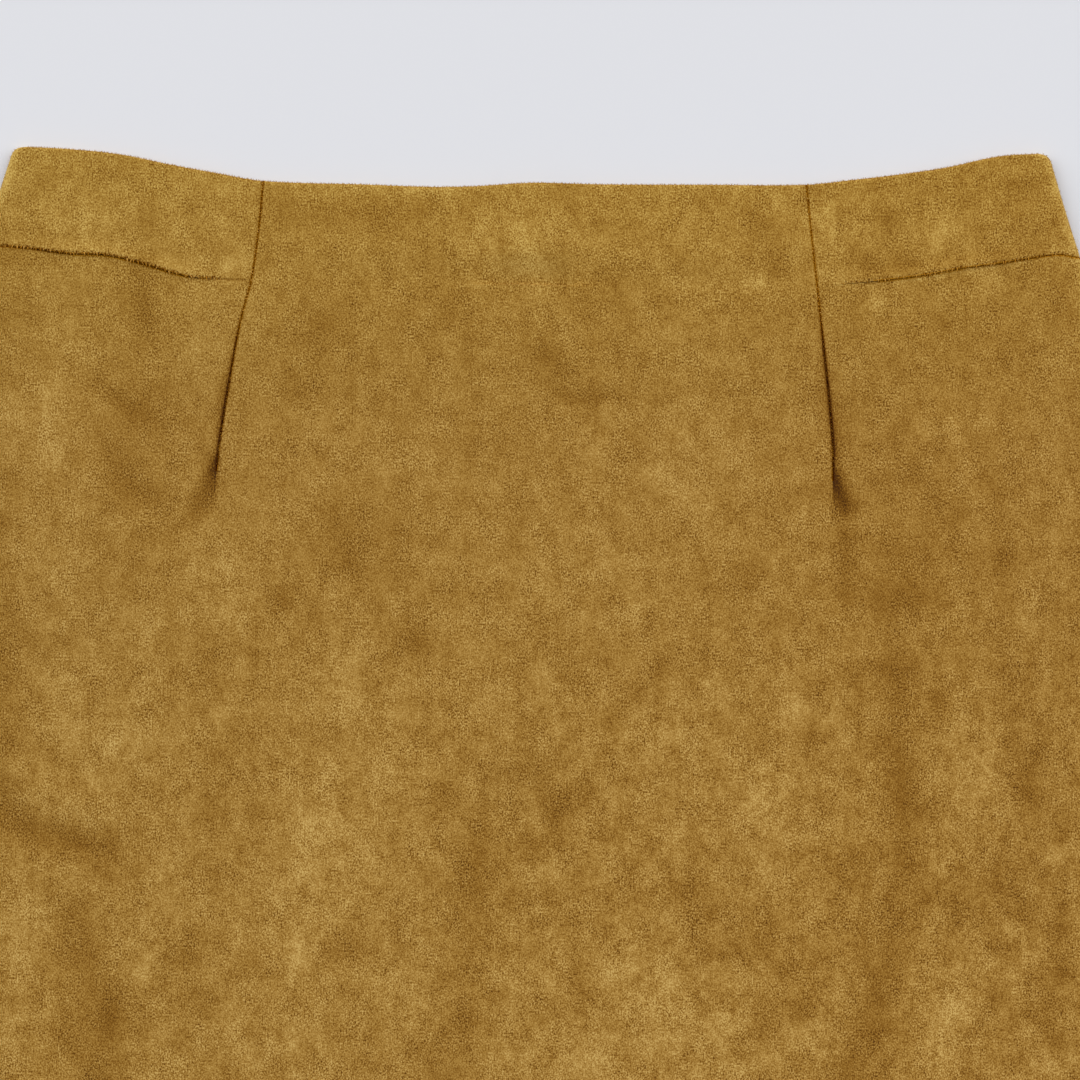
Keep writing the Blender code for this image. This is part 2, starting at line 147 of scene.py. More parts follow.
# slow waves of the front: centre x, centre below, half length, half breadth, turn, height
slowWaves = (
    (-0.150, 0.135, 0.060, 0.026, 14, 0.0012),
    (0.150, 0.175, 0.085, 0.030, -8, 0.0012),
    (-0.185, 0.330, 0.070, 0.034, 34, 0.0018),
    (0.128, 0.365, 0.130, 0.028, 5, 0.0018),
    (-0.070, 0.330, 0.120, 0.030, -6, 0.0010),
    (0.030, 0.430, 0.110, 0.034, 4, 0.0012),
    (-0.135, 0.570, 0.120, 0.030, 5, 0.0022),
    (0.055, 0.610, 0.100, 0.030, -4, 0.0019),
    (0.155, 0.590, 0.110, 0.022, -5, 0.0020),
)


def ease(t):
    t = np.clip(t, 0, 1)
    return t * t * (3 - 2 * t)


def smoothLine(rows, column, at):
    # the smooth line through a table's rows, read at values of its first column
    places = np.array([row[0] for row in rows])
    values = np.array([row[column] for row in rows])
    slopes = np.empty(len(places))
    slopes[1:-1] = (values[2:] - values[:-2]) / (places[2:] - places[:-2])
    slopes[0] = (values[1] - values[0]) / (places[1] - places[0])
    slopes[-1] = (values[-1] - values[-2]) / (places[-1] - places[-2])
    at = np.clip(at, places[0], places[-1])
    i = np.clip(np.searchsorted(places, at, side="right") - 1, 0, len(places) - 2)
    span = places[i + 1] - places[i]
    t = (at - places[i]) / span
    return (
        (2 * t**3 - 3 * t**2 + 1) * values[i]
        + (t**3 - 2 * t**2 + t) * span * slopes[i]
        + (3 * t**2 - 2 * t**3) * values[i + 1]
        + (t**3 - t**2) * span * slopes[i + 1]
    )


def bySide(rows, side, at):
    return np.where(side >= 0, smoothLine(rows, 1, at), smoothLine(rows, 2, at))


def topEdge(x, back):
    dip = pattern["backDip"] * ease(1 - abs(x) / topEdgeLine[-1][0]) if back else 0
    return bySide(topEdgeLine, x, abs(x)) + dip


def waistSeam(x):
    return bySide(waistSeamLine, x, abs(x))


def hemEdge(x):
    return pattern["length"] - pattern["hemRise"] * (abs(x) / sideLine[-1][1]) ** 2


def dartLine(side, below, back):
    if back:
        spread = np.clip(below / pattern["backDartEnd"], 0, 1)
        return pattern["backDartOff"] + pattern["backDartSpread"] * spread
    return bySide(frontDartLine, side, below)


def sideEdge(side, below):
    # half the width, with the waistband's top corners rounded
    corner = pattern["corner"]
    depth = below - bySide(topEdgeLine, side, np.full_like(below, topEdgeLine[-1][0]))
    inside = corner - np.clip(depth, 0, corner)
    return bySide(sideLine, side, below) - corner + np.sqrt(np.maximum(corner**2 - inside**2, 0))


# A cloth piece starts as a flat lattice. Its rows run from -1 at the top edge to 0 at the
# waist seam, 1 at the darts' points and 2 at the hem, and its columns from 0 in the middle
# to 1 at the dart line, 2 where the side begins to turn over and 3 on the side fold.
def belowOf(x, row, back):
    dartEnd = pattern["backDartEnd"] if back else pattern["frontDartEnd"]
    waist = waistSeam(x)
    inBand = waist + row * (waist - topEdge(x, back))
    atDart = waist + row * (dartEnd - waist)
    lower = dartEnd + (row - 1) * (hemEdge(x) - dartEnd)
    return np.where(row <= 0, inBand, np.where(row <= 1, atDart, lower))


def acrossOf(column, below, back):
    # x of a column, and its angle round the side fold
    side = np.where(column < 0, -1.0, 1.0)
    place = abs(column)
    foldStart = sideEdge(side, below) - pattern["fold"] / 2
    dart = dartLine(side, below, back)
    x = np.where(place <= 1, dart * place, dart + (foldStart - dart) * np.clip(place - 1, 0, 1))
    return side * x, np.clip(place - 2, 0, 1) * math.pi / 2


def latticePoint(column, row, back):
    # x and below depend on each other, and settle in eight rounds
    below = belowOf(np.zeros_like(column), row, back)
    for _ in range(8):
        x, angle = acrossOf(column, below, back)
        below = belowOf(x, row, back)
    return x, below, angle


def domeLift(x, below):
    sideways = ease(1 - (abs(x) - zipPlace["domeBreadth"]) / zipPlace["domeEase"])
    return zipPlace["dome"] * sideways * ease(1 - (below - zipPlace["domeEnd"]) / zipPlace["domeFall"])


def waveLift(waves, x, below):
    lift = np.zeros_like(x)
    for centreX, centreBelow, halfLength, halfBreadth, turn, height in waves:
        angle = math.radians(turn)
        dx, dy = x - centreX, below - centreBelow
        along = (dy * math.cos(angle) + dx * math.sin(angle)) / halfLength
        sideways = (dx * math.cos(angle) - dy * math.sin(angle)) / halfBreadth
        lift += height * np.exp(-(along**2) - sideways**2)
    return lift


def frontLevel(x, below, band):
    # top of the front cloth before its small creases, and how much of them it takes
    p = pattern
    underSeam = below - waistSeam(x)
    settled = np.where(band, 0, ease(underSeam / p["waistEase"]))
    beside = (abs(x) - dartLine(x, below, False)) / p["seamClose"]
    seamLevel = p["seamLevel"] + (p["fold"] - p["seamLevel"]) * np.exp(-(beside**2))
    level = seamLevel + (p["restLevel"] - seamLevel) * settled
    aboveSeam = p["fold"] + (seamLevel - p["fold"]) * ease(1 + underSeam / p["bandEase"])
    level = np.where(band, p["fold"], np.where(underSeam < 0, aboveSeam, level))
    hem = ease((below - (p["length"] - p["hemTurn"] - p["hemStep"] - p["hemEase"])) / p["hemEase"])
    level = level + (p["fold"] - p["restLevel"]) * hem
    zipShare = np.where(underSeam > 0, ease(1 - (below - zipPlace["end"]) / zipPlace["fade"]), 0)
    spread = ease(1 - abs(x) / zipPlace["spread"])
    overZip = zipPlace["settled"] * (1 - hem) + (zipPlace["rise"] - zipPlace["settled"]) * zipShare
    level = level + spread * overZip + domeLift(x, below)
    inland = (sideEdge(x, below) - p["fold"] / 2 - abs(x)) / p["sideEase"]
    atSide = ease(1 - inland)
    level = level + waveLift(slowWaves, x, below) * (1 - atSide) * settled
    return level + (p["fold"] - level) * atSide, (1 - atSide) * (1 - hem)


# Creases and nap, each placed one by one: strokes that follow a line, and soft patches.
# Each stroke has its points in mm (x, below), half widths in mm at its start and end,
# tone (darker below 0; the nap's own, and also painted shade where the stroke has a trough and painted light
# where it has a ridge), depth in mm (a trough above 0), and how strong each end is.
frontStrokes = (
    # the nap along the top edge catches the light
    (((-134, 8.4), (-110, 12.8), (-80, 15.8), (-40, 16.2), (0, 14.6), (60, 14.0), (93, 13.6), (128, 8.8)),
     (2.0, 2.0), 8, 0, (0, 0)),
    # painted shade below the left and right darts, where the cloth is pulled into shallow troughs
    (((-108.9, 110), (-110.6, 118), (-113.6, 126), (-118.5, 136)), (2.6, 3.8), -20, 0.35, (0.7, 0)),
    (((-107.5, 110.5), (-108.9, 113.5), (-110.6, 116)), (1.5, 2.0), -13, 0.2, (0.9, 0)),
    (((106.0, 112), (107.2, 117), (109.2, 122), (112, 129)), (1.7, 3.4), -37, 0.4, (0.9, 0)),
    (((109, 126), (110, 138), (109.5, 150), (108, 162)), (4.2, 5.5), -12, 0.2, (0.6, 0)),
    # painted light just under the left waist seam, lifting the shade under the band's edge, and the right
    # one's faint end
    (((109, 47.0), (125, 45.1), (135, 43.6), (147, 41.2), (160, 39.3), (172, 37.2), (181, 35.9)),
     (0.9, 0.9), 14, 0, (0, 0.5)),
    (((-110, 47.6), (-104, 48.0), (-98.5, 48.1)), (0.4, 0.4), -16, 0, (0.6, 1)),
    # painted shade in the dent under the waist seam and in the crescents beside the left dart
    (((-133.5, 42), (-133.5, 52), (-133, 64), (-131, 80)), (3.6, 5.0), -16, 0.3, (0.8, 0)),
    (((-154, 77), (-147, 86), (-138, 93), (-124, 99)), (3.4, 3.4), -13, 0.2, (0, 0)),
    (((-149, 100), (-143, 111), (-137, 119), (-128, 125), (-118, 134)), (5.6, 4.2), -15, 0.25, (0.2, 0.2)),
    # the fold that comes in from the right side
    (((-190, 212), (-181, 229), (-170, 239), (-156, 242), (-143, 246), (-132, 253)),
     (5.5, 5.5), -18, 0.5, (0.9, 0)),
    (((-192, 200), (-178, 216), (-164, 226), (-148, 231), (-132, 236)), (6, 6), 3, -0.35, (0.6, 0)),
    # the pressed line across the middle and the scratches that run down from it
    (((3, 79), (9, 85), (18, 87.5), (28, 85.5), (42, 86)), (2.6, 1.9), -16, 0.2, (0.2, 0.2)),
    (((20, 89), (26, 98), (31, 106), (37, 117)), (1.7, 1.9), -9, 0.12, (0.2, 0)),
    (((15, 92), (20, 99), (25, 107), (30, 116)), (2.6, 3.0), 10, -0.12, (0, 0)),
    (((59, 72), (67, 83), (76, 94)), (1.5, 1.6), -6, 0.1, (0, 0)),
    (((-85, 97), (-75, 105), (-65, 116)), (1.6, 1.6), -6, 0.1, (0, 0)),
    # the faint middle crease
    (((-2, 165), (-2, 185), (-2, 205), (-4, 222)), (3, 3.5), -8, 0.1, (0, 0.3)),
    (((-8, 212), (-16, 236), (-18, 262), (-20, 290), (-24, 330)), (6, 8), -11, 0.3, (0, 0.6)),
    # painted shade in the slack beside the left side, and painted light and shade along the curves of its
    # edge
    (((129, 168), (128, 190), (127, 206), (131, 222), (131, 246), (129, 264)), (6, 7), -14, 0.3, (0.2, 0.6)),
    (((127, 262), (125, 284), (120, 304), (112, 330)), (8, 9), -15, 0.35, (0.4, 0.8)),
    (((137, 76), (142, 90), (148, 104), (154, 122), (159, 150)), (3, 3.5), 6, -0.2, (0, 0)),
    (((144, 82), (150, 96), (156, 112), (163, 134), (166, 168)), (2.6, 3.2), -6, 0.15, (0, 0)),
    (((163, 176), (167, 198), (172, 218), (180, 232)), (3.6, 5), -11, 0.2, (0, 0)),
    # the long fold down the right side
    (((-152, 252), (-153, 272), (-147, 294), (-145, 330)), (8, 9), -12, 0.35, (0, 0.8)),
    # lower down, towards the hem
    (((-145, 330), (-141, 380), (-146, 430), (-150, 470)), (9, 12), -10, 0.4, (0.8, 0)),
    (((112, 330), (106, 370), (108, 420), (104, 470)), (9, 12), -11, 0.4, (0.8, 0)),
    (((-24, 330), (-20, 400), (-12, 470), (-10, 560)), (8, 8), -7, 0.25, (0.6, 0)),
    (((-60, 430), (-48, 468), (-40, 510), (-44, 560)), (7, 8), -9, 0.4, (0, 0)),
    (((60, 410), (70, 450), (72, 500), (66, 548)), (7, 9), -9, 0.4, (0, 0)),
    (((205, 300), (190, 330), (170, 352), (146, 362)), (6, 6), -12, 0.4, (0.5, 0)),
    (((-200, 420), (-184, 446), (-165, 460), (-140, 466)), (6, 6), -12, 0.4, (0.5, 0)),
    (((160, 470), (152, 500), (150, 540), (156, 580)), (6, 7), -9, 0.3, (0, 0)),
)
backStrokes = (
    (((-98, 150), (-100, 162), (-104, 176)), (3.5, 5), -14, 0.2, (1, 0)),
    (((98, 150), (100, 163), (103, 178)), (3.5, 5), -14, 0.2, (1, 0)),
    (((-160, 120), (-150, 150), (-146, 190)), (6, 7), -7, 0.2, (0, 0)),
    (((20, 230), (34, 250), (58, 258), (84, 256)), (6, 6), -8, 0.25, (0, 0)),
    (((190, 260), (170, 282), (142, 290)), (6, 6), -8, 0.25, (0.5, 0)),
    (((-120, 300), (-112, 350), (-116, 410), (-110, 470)), (9, 10), -8, 0.25, (0, 0)),
    (((110, 330), (118, 380), (112, 450), (116, 520)), (9, 10), -8, 0.25, (0, 0)),
    (((-190, 470), (-170, 488), (-140, 492), (-110, 486)), (6, 6), -7, 0.2, (0.5, 0)),
)
# where the nap lies lighter or darker, in mm: x, below, half width, half height, tone
frontPatches = (
    # the waistband and the centre beside it
    (-140, 26, 42, 18, 8), (-157, 32, 9, 5, 8), (-134, 25, 4, 4, -8), (-134, 30, 6, 5, -8),
    (-80, 18, 9, 3, 8), (-86, 22, 6, 8, -9), (-46, 18, 12, 4, 9), (-45, 22, 14, 4, -9),
    (-53, 28, 8, 8, -8), (-60, 34, 10, 12, 4), (-36, 42, 5, 14, -6), (0, 30, 62, 14, 7),
    (-14, 32, 6, 5, 8), (-3, 34, 5, 14, 9), (2, 42, 3.5, 8, 12), (30, 35, 6, 5, -8), (60, 30, 10, 10, 3),
    (85, 24, 4, 8, 6), (98, 25, 18, 9, 5), (101, 28, 4, 9, 10), (80, 32, 5, 8, -9), (85, 42, 6, 4, -7),
    (122, 22, 4, 5, -11), (118, 40, 9, 4, -8), (138, 28, 7, 6, 12), (167, 10, 6, 5, -10),
    (180, 26, 5, 4, -8), (184, 36, 4, 4, 9), (108, 15, 9, 4, 6), (-102, 15.5, 6, 3.5, 9),
    (-168, 12, 12, 8, 5), (-80, 17, 10, 2.5, 5), (165, 6, 6, 3, 5), (140, 26, 42, 18, 3),
    (-104, 11, 14, 5, -3), (-60, 28, 16, 7, -4), (126, 37, 12, 6, -4),
    # along the waist seam, where the darker patches widen the seams' painted shade
    (-175, 41.5, 9, 4, -9), (-104, 43, 5, 3, 11), (104, 44, 4.5, 3, 12), (130, 40.5, 7, 3, -9),
    (146, 38, 7, 3, -7), (158, 36, 6, 3, -8), (169, 34, 6, 3, -14), (169, 40, 6, 4, -9),
    # from the waist seam to the darts
    (-104, 50, 14, 20, 4), (53, 60, 18, 14, 4), (177, 68, 8, 16, 5), (-182, 60, 6, 6, -10),
    (-168, 63, 6, 5, -7), (-162, 72, 6, 5, 8), (-166, 92, 7, 9, 10), (-178, 95, 7, 8, 6),
    (-164, 58, 12, 14, 4), (-110, 74, 10, 7, 8), (-134, 88, 7, 8, -5), (-97, 62, 5, 5, 7),
    (-80, 84, 6, 8, -6), (-72, 64, 7, 8, -9), (-70, 74, 14, 20, -3), (-27, 56, 7, 7, -8),
    (-42, 95, 8, 5, -6), (4, 72, 7, 3.5, -13), (10, 78, 7, 6, -9), (20, 52, 8, 8, -6), (31, 68, 6, 8, -6),
    (50, 92, 8, 6, 6), (78, 46, 4, 4, 16), (110, 50, 6, 5, -7), (119, 52, 5, 4, 13), (106, 92, 5, 12, -9),
    (155, 46, 5, 5, 12), (143, 60, 4, 5, -10), (136, 95, 5, 8, 8), (181, 46, 5, 7, -10),
    (165, 66, 14, 7, -8), (177, 77, 6, 5, -8),
    # beside and below the darts; a few here also adjust the painted shade at the darts' points
    (-168, 108, 8, 9, 10), (-178, 118, 8, 7, -9), (-166, 142, 12, 12, 6), (-178, 162, 6, 12, -8),
    (-142, 124, 5, 5, -8), (-147, 139, 5, 4, -9), (-136, 147, 4, 3, -6), (-130, 102, 12, 14, -10),
    (-128, 108, 5, 5, 6), (-134, 136, 3, 3, -8), (-134, 146, 4, 8, -7), (-107, 148, 8, 10, 7),
    (-105, 158, 11, 11, 6), (-85, 158, 6, 4, -15), (-73, 100, 4, 5, 8), (-45, 107, 11, 7, 6),
    (-52, 125, 5, 5, -6), (-63, 133, 9, 7, -10), (-60, 143, 5, 5, -9), (-60, 146, 22, 16, -6),
    (-68, 155, 4, 4, 8), (-38, 126, 4, 4, -6), (-5, 103, 12, 7, -5), (5, 151, 4, 9, 6),
    (23, 146, 6, 12, 6), (36, 160, 4, 6, 7), (62, 100, 10, 14, 3), (64, 106, 8, 7, 5),
    (45, 112, 6, 5, 11), (55, 122, 7, 5, 9), (75, 148, 8, 5, -7), (68, 153, 7, 6, -8),
    (85, 122, 5, 8, -9), (100.5, 116, 3, 6, -9), (92, 160, 8, 12, -4), (130, 104, 14, 18, -8),
    (105, 109, 4, 5, 6), (133, 138, 6, 7, -6), (129, 148, 15, 13, -9), (126, 156, 9, 8, -7),
    (140, 118, 5, 5, -6), (148, 125, 4, 6, -12), (151, 128, 4, 5, 7), (156, 137, 7, 6, -8),
    (150, 140, 40, 60, -3), (166, 108, 6, 8, -6), (187, 129, 6, 7, 3), (165, 141, 5, 5, -10),
    (171, 156, 5, 7, 8),
    # the middle
    (-129, 208, 14, 16, 3), (53, 208, 18, 16, 3), (177, 165, 9, 26, -3), (-178, 210, 8, 6, -13),
    (-182, 135, 6, 6, -10), (-180, 186, 6, 18, -11), (-158, 196, 5, 13, 11), (-137, 196, 7, 5, 8),
    (-143, 210, 6, 7, 12), (-149, 222, 5, 6, 8), (-130, 172, 6, 8, 6), (-112, 176, 7, 12, -7),
    (-105, 193, 10, 4, -6), (-108, 212, 6, 6, -9), (-104, 197, 5, 4, 9), (-104, 226, 5, 10, -6),
    (-92, 229, 5, 9, -8), (-73, 165, 4, 6, -9), (-54, 166, 13, 5, 6), (-48, 177, 6, 4, -6),
    (-63, 186, 7, 8, 14), (-50, 195, 7, 6, 7), (-46, 215, 12, 12, 7), (-38, 166, 4, 8, -9),
    (-42, 171, 6, 5, -13), (-28, 222, 6, 10, -6), (14, 170, 7, 6, -6), (9, 187, 8, 6, 7),
    (-10, 191, 11, 8, 7), (5, 216, 7, 6, -8), (12, 229, 5, 7, -20), (18, 184, 4, 4, -14),
    (38, 187, 5, 5, -8), (31, 196, 4, 5, -7), (22, 222, 5, 5, -7), (75, 178, 4, 12, -8),
    (49, 179, 7, 4, -11), (62, 190, 7, 7, 6), (46, 201, 4, 6, 10), (74, 213, 5, 6, 10),
    (87, 175, 10, 7, 7), (98, 186, 3, 5, -9), (93, 190, 5, 6, 7), (91, 194, 5, 7, 11),
    (98, 204, 5, 4, -9), (84, 205, 8, 5, -10), (86, 216, 9, 5, 10), (82, 227, 8, 10, 12),
    (126, 177, 10, 5, -12), (113, 180, 5, 6, -10), (127, 184, 4, 8, -8), (131, 218, 4, 8, -6),
    (143, 190, 3, 5, -14), (161, 206, 6, 18, 8), (152, 212, 7, 14, 8), (161, 216, 5, 6, 7),
    (165, 180, 5, 9, -10), (177, 207, 4, 9, -16), (172, 220, 6, 5, -8), (186, 228, 6, 6, -14),
    (173, 235, 5, 4, -2),
    # across the thighs
    (56, 306, 24, 14, 3), (-38, 304, 26, 14, 2), (68, 317, 6, 5, 11), (178, 316, 6, 5, 10),
    (-136, 320, 7, 6, -9), (-80, 293, 6, 5, 9), (4, 290, 6, 4, 9), (163, 274, 4, 4, -13),
    (169, 269, 4, 4, 10), (190, 233, 5, 7, 12), (191, 247, 4, 5, -9), (-179, 274, 4, 5, 9),
    (-172, 276, 6, 10, 12), (-178, 310, 5, 5, 13), (-141, 245, 5, 8, -9), (-157, 283, 5, 5, -11),
    (-144, 286, 6, 6, 3), (-142, 302, 5, 9, -8), (-158, 312, 6, 6, -10), (-106, 252, 6, 6, -10),
    (-118, 253, 7, 6, 7), (-124, 276, 4, 8, 9), (-118, 280, 6, 7, -10), (-114, 283, 8, 5, -8),
    (-130, 284, 7, 18, 5), (-110, 297, 5, 6, -9), (-132, 302, 12, 8, -9), (-81, 244, 6, 5, -8),
    (-82, 250, 6, 10, 6), (-92, 266, 8, 8, 6), (-78, 280, 5, 9, 13), (-86, 286, 6, 3, -7),
    (-98, 304, 7, 9, 6), (-80, 310, 7, 6, 10), (-74, 236, 14, 24, 8), (-52, 245, 10, 12, 6),
    (-70, 246, 6, 11, 10), (-70, 275, 7, 6, 10), (-61, 279, 7, 6, -14), (-45, 293, 8, 5, 11),
    (-52, 316, 5, 6, -7), (-21, 284, 8, 8, 8), (-18, 299, 4, 7, -8), (-34, 312, 7, 8, -7),
    (0, 240, 7, 3, -8), (7, 240, 9, 5, -8), (5, 250, 6, 4, 13), (-12, 252, 9, 5, -9),
    (5, 260, 8, 2.6, -13), (8, 298, 5, 4, -7), (5, 304, 8, 12, 5), (3, 304, 6, 5, -9),
    (38, 261, 8, 4, -6), (20, 266, 6, 4, -7), (40, 276, 5, 5, 8), (31, 284, 8, 6, 10),
    (22, 291, 5, 4, -8), (22, 318, 16, 10, 9), (55, 257, 5, 5, -14), (64, 264, 6, 4, -15),
    (66, 277, 10, 5, -9), (48, 286, 6, 8, 14), (51, 299, 5, 7, 14), (70, 301, 5, 5, 14),
    (45, 308, 18, 12, 5), (86, 246, 7, 8, 8), (80, 268, 10, 8, -6), (85, 276, 6, 5, -8),
    (93, 283, 6, 4, -15), (97, 296, 6, 5, -11), (87, 303, 9, 6, -8), (92, 306, 7, 6, 8),
    (100, 316, 6, 5, -4), (114, 243, 11, 9, -8), (113, 253, 6, 6, -7), (106, 276, 8, 8, -6),
    (105, 307, 6, 8, 12), (164, 247, 5, 6, -14), (154, 258, 6, 9, -12), (139, 259, 6, 6, -9),
    (159, 279, 7, 5, 10), (162, 289, 3, 4, -9), (150, 296, 6, 9, 14), (162, 302, 5, 4, -5),
    (143, 309, 5, 9, 14), (159, 317, 7, 6, -13), (160, 318, 9, 7, 6), (185, 241, 4, 4, 13),
    (173, 244, 4, 5, -12), (171, 256, 5, 9, -8), (171, 263, 12, 7, -6), (185, 275, 5, 26, -13),
    (181, 279, 7, 7, -2), (170, 286, 5, 5, -4), (175, 296, 7, 4, -12), (184, 306, 4, 5, -16),
    (186, 312, 5, 5, 11),
)

napForm = {
    "strokeReach": 3,  # half widths from its line, past which a stroke is nothing
    "strokeEase": 0.35,  # share of a stroke's length over which its ends fade
    "perSpan": 10,  # points along a stroke between two given ones
    # patches where none are listed, in mm
    "seededAcross": 215,
    "seededHalfWidth": (4, 12),
    "seededHalfHeight": (5, 20),
    "seededTone": (0.4, 14),  # the weakest one's share, and the strongest one's tone
}


def smoothPath(points, perSpan):
    # points along the smooth curve through the given ones, in metres
    given = np.array(points, float) * mm
    padded = np.vstack((2 * given[0] - given[1], given, 2 * given[-1] - given[-2]))
    t = (np.arange(perSpan) / perSpan)[:, None]
    spans = []
    for a, b, c, d in zip(padded, padded[1:], padded[2:], padded[3:]):
        bend = (2 * a - 5 * b + 4 * c - d) * t**2 + (3 * b - a - 3 * c + d) * t**3
        spans.append(0.5 * (2 * b + (c - a) * t + bend))
    return np.vstack(spans + [given[-1:]])


def strokeShare(line, widths, ends, x, below):
    # 1 on a stroke's line, dying away beside it and towards its ends
    path = smoothPath(line, napForm["perSpan"])
    share = np.zeros_like(x)
    reach = napForm["strokeReach"] * max(widths) * mm
    low, high = path.min(axis=0) - reach, path.max(axis=0) + reach
    near = (x > low[0]) & (x < high[0]) & (below > low[1]) & (below < high[1])
    if not near.any():
        return share
    apart = np.hypot(x[near, None] - path[:, 0], below[near, None] - path[:, 1])
    nearest = apart.argmin(axis=1)
    along = nearest / (len(path) - 1)
    wide = (widths[0] + (widths[1] - widths[0]) * along) * mm
    fade = 1.0
    for end, fromEnd in zip(ends, (along, 1 - along)):
        fade = fade * (end + (1 - end) * ease(fromEnd / napForm["strokeEase"]))
    share[near] = fade * np.exp(-((apart[np.arange(len(nearest)), nearest] / wide) ** 2))
    return share


def seededPatches(seed, count, highest, lowest):
    draw = random.Random(seed)
    across, (weakest, tone) = napForm["seededAcross"], napForm["seededTone"]
    patches = []
    for _ in range(count):
        strength = draw.choice((-1, 1)) * draw.uniform(weakest, 1) * tone
        patches.append((
            draw.uniform(-across, across), draw.uniform(highest, lowest),
            draw.uniform(*napForm["seededHalfWidth"]), draw.uniform(*napForm["seededHalfHeight"]), strength,
        ))
    return tuple(patches)


hemPatches = seededPatches(seed=5, count=190, highest=330, lowest=610)
backPatches = seededPatches(seed=11, count=380, highest=0, lowest=612)


def creaseDepth(strokes, x, below):
    depth = np.zeros_like(x)
    for line, widths, tone, deep, ends in strokes:
        depth += deep * mm * strokeShare(line, widths, ends, x, below)
    return depth


def napAndShadeTone(strokes, patches, x, below):
    # how much lighter or darker the nap lies, with painted shade in the creases' troughs and painted light
    # on their ridges
    total = np.zeros_like(x)
    for line, widths, tone, deep, ends in strokes:
        total += tone * strokeShare(line, widths, ends, x, below)
    for centreX, centreBelow, halfWidth, halfHeight, tone in patches:
        sideways = (x / mm - centreX) / halfWidth
        along = (below / mm - centreBelow) / halfHeight
        total += tone * np.exp(-(sideways**2) - along**2)
    return total


# the cloth's edges, seams and darts
cloth = {
    "lip": (0.0002, 0.0004, 0.0007, 0.0012, 0.0020, 0.0034),  # closer points beside a seam
    "lipClear": 0.00442,  # other points keep clear of a seam by this
    "sideMark": 0.1,  # lattice steps, marks which side of a seam a point is on
    "sharp": 55,  # degrees, an edge turned more than this shows as an edge
    "rollMost": 0.80,  # share of the wall that an edge rolls in by at the most
    "foldMost": 0.48,  # and where both its faces do, at the top edge and the hem
    "dartEase": 0.14,  # lattice rows over which a dart closes to its point
    "seamTone": -63,  # painted shade, down in a seam
    "seamShade": 0.00045,  # how far from the seam that reaches
    "deepShade": 0.00045,  # how far the deeper painted shade beside a seam reaches
    "deepShadeAtWaist": 0.00075,  # and on the front, below its waist seams
    "closed": 0.02,  # where a seam is less dark than this, it gets no deeper painted shade
    "stretch": 0.0026,  # the waist seams get their deeper painted shade in stretches at first
    "stretchFrom": (0.107, 0.118),  # where they start, and where they join up
    "waistOpens": 1.6,  # how soon a waist seam opens to its full gap
    "waistLeast": 0.1,  # share of that gap where it has closed up
    "sideTone": 25,  # the nap stands up and catches the light where the side turns over
    "sideGlow": 0.0042,  # how far in that reaches
    "innerShade": 0.0009,  # breadth of the shade beside a dart, towards the centre
    "ridge": 0.00045,  # height of the waistband's lower edge over its seam allowance
    "ridgeOff": 0.0010,
    "ridgeBreadth": 0.0020,
    "ridgeStart": 0.006,  # from the upright seam
    "ridgeGrowth": 0.020,
    # the ridge's tone is a painted highlight, where its upper slope faces the light
    "ridgeTone": 5,
    "creaseEase": 0.020,  # creases grow to their full depth this far below the waist seam
    "creaseLeast": 0.4,
    "bandCrease": 0.5,
    "backAside": 1.0,  # metres, so that the back's nap isn't the front's again
}
uprightSeam = {
    "tight": 0.7,  # share of a seam's gap at the top
    "opening": 1.5,  # and how much more at the dart
    "opensFrom": 0.055,
    "opensOver": 0.045,
    "pointEase": 0.05,  # lattice rows over which the dart's gap closes
    "ridge": 0.00012,  # height over the allowances on both sides
    "ridgeOff": 0.0035,
    "ridgeBreadth": 0.0018,
    "ridgeEnd": 0.125,
    "ridgeEase": 0.020,
}
# for each kind of piece, the radius that an edge rolls in by, and how dark it lies
pieceEdges = {
    "front_panel": {
        "top": (0.0010, 0), "dart": (0.0004, 1.0), "waist": (0.0004, 1.0), "hem": (0.0010, 0),
        "side": (0.0004, 0.6),
    },
    "front_band": {"top": (0.0010, 0), "dart": (0.0004, 1.0), "waist": (0.0007, 0.9), "side": (0.0004, 0.6)},
    "back_band": {"top": (0.0008, 0), "waist": (0.0008, 0.9), "side": (0.0004, 0.6)},
    "back_panel": {
        "waist": (0.0005, 0.9), "dart": (0.0005, 0.9), "centre": (0.0005, 0.9), "hem": (0.0008, 0),
        "side": (0.0004, 0.6),
    },
}
# how deep and dark a seam lies: distance from the centre, then left, right
waistSeamDark = (
    (0.098, 0.01, 0.09),
    (0.106, 0.01, 0.18),
    (0.114, 0.03, 0.32),
    (0.122, 0.06, 0.46),
    (0.135, 0.09, 0.60),
    (0.150, 0.10, 0.56),
    (0.160, 0.14, 0.54),
    (0.172, 0.36, 0.74),
    (0.188, 0.46, 0.94),
)
# the same down the upright seam and its dart: below, then left, right
uprightSeamDark = (
    (0.013, 0.52, 0.66),
    (0.048, 0.50, 0.62),
    (0.060, 0.66, 0.62),
    (0.070, 0.95, 0.76),
    (0.084, 1.00, 1.00),
    (0.110, 1.00, 1.00),
    (0.116, 0.60, 0.50),
)
# tone of the shade beside the darts: below, then left, right
dartOuterShade = (
    (0.050, 0, 0),
    (0.060, -8, -12),
    (0.072, -26, -32),
    (0.088, -40, -42),
    (0.098, -46, -44),
    (0.106, -58, -38),
    (0.114, -44, -40),
    (0.130, 0, 0),
)
dartInnerShade = (
    (0.050, 0, 0),
    (0.060, -14, 0),
    (0.068, -38, -4),
    (0.080, -38, -6),
    (0.095, -28, -6),
    (0.104, -14, -3),
    (0.112, -6, -10),
    (0.118, -15, -27),
    (0.124, -11, -17),
    (0.130, 0, 0),
)
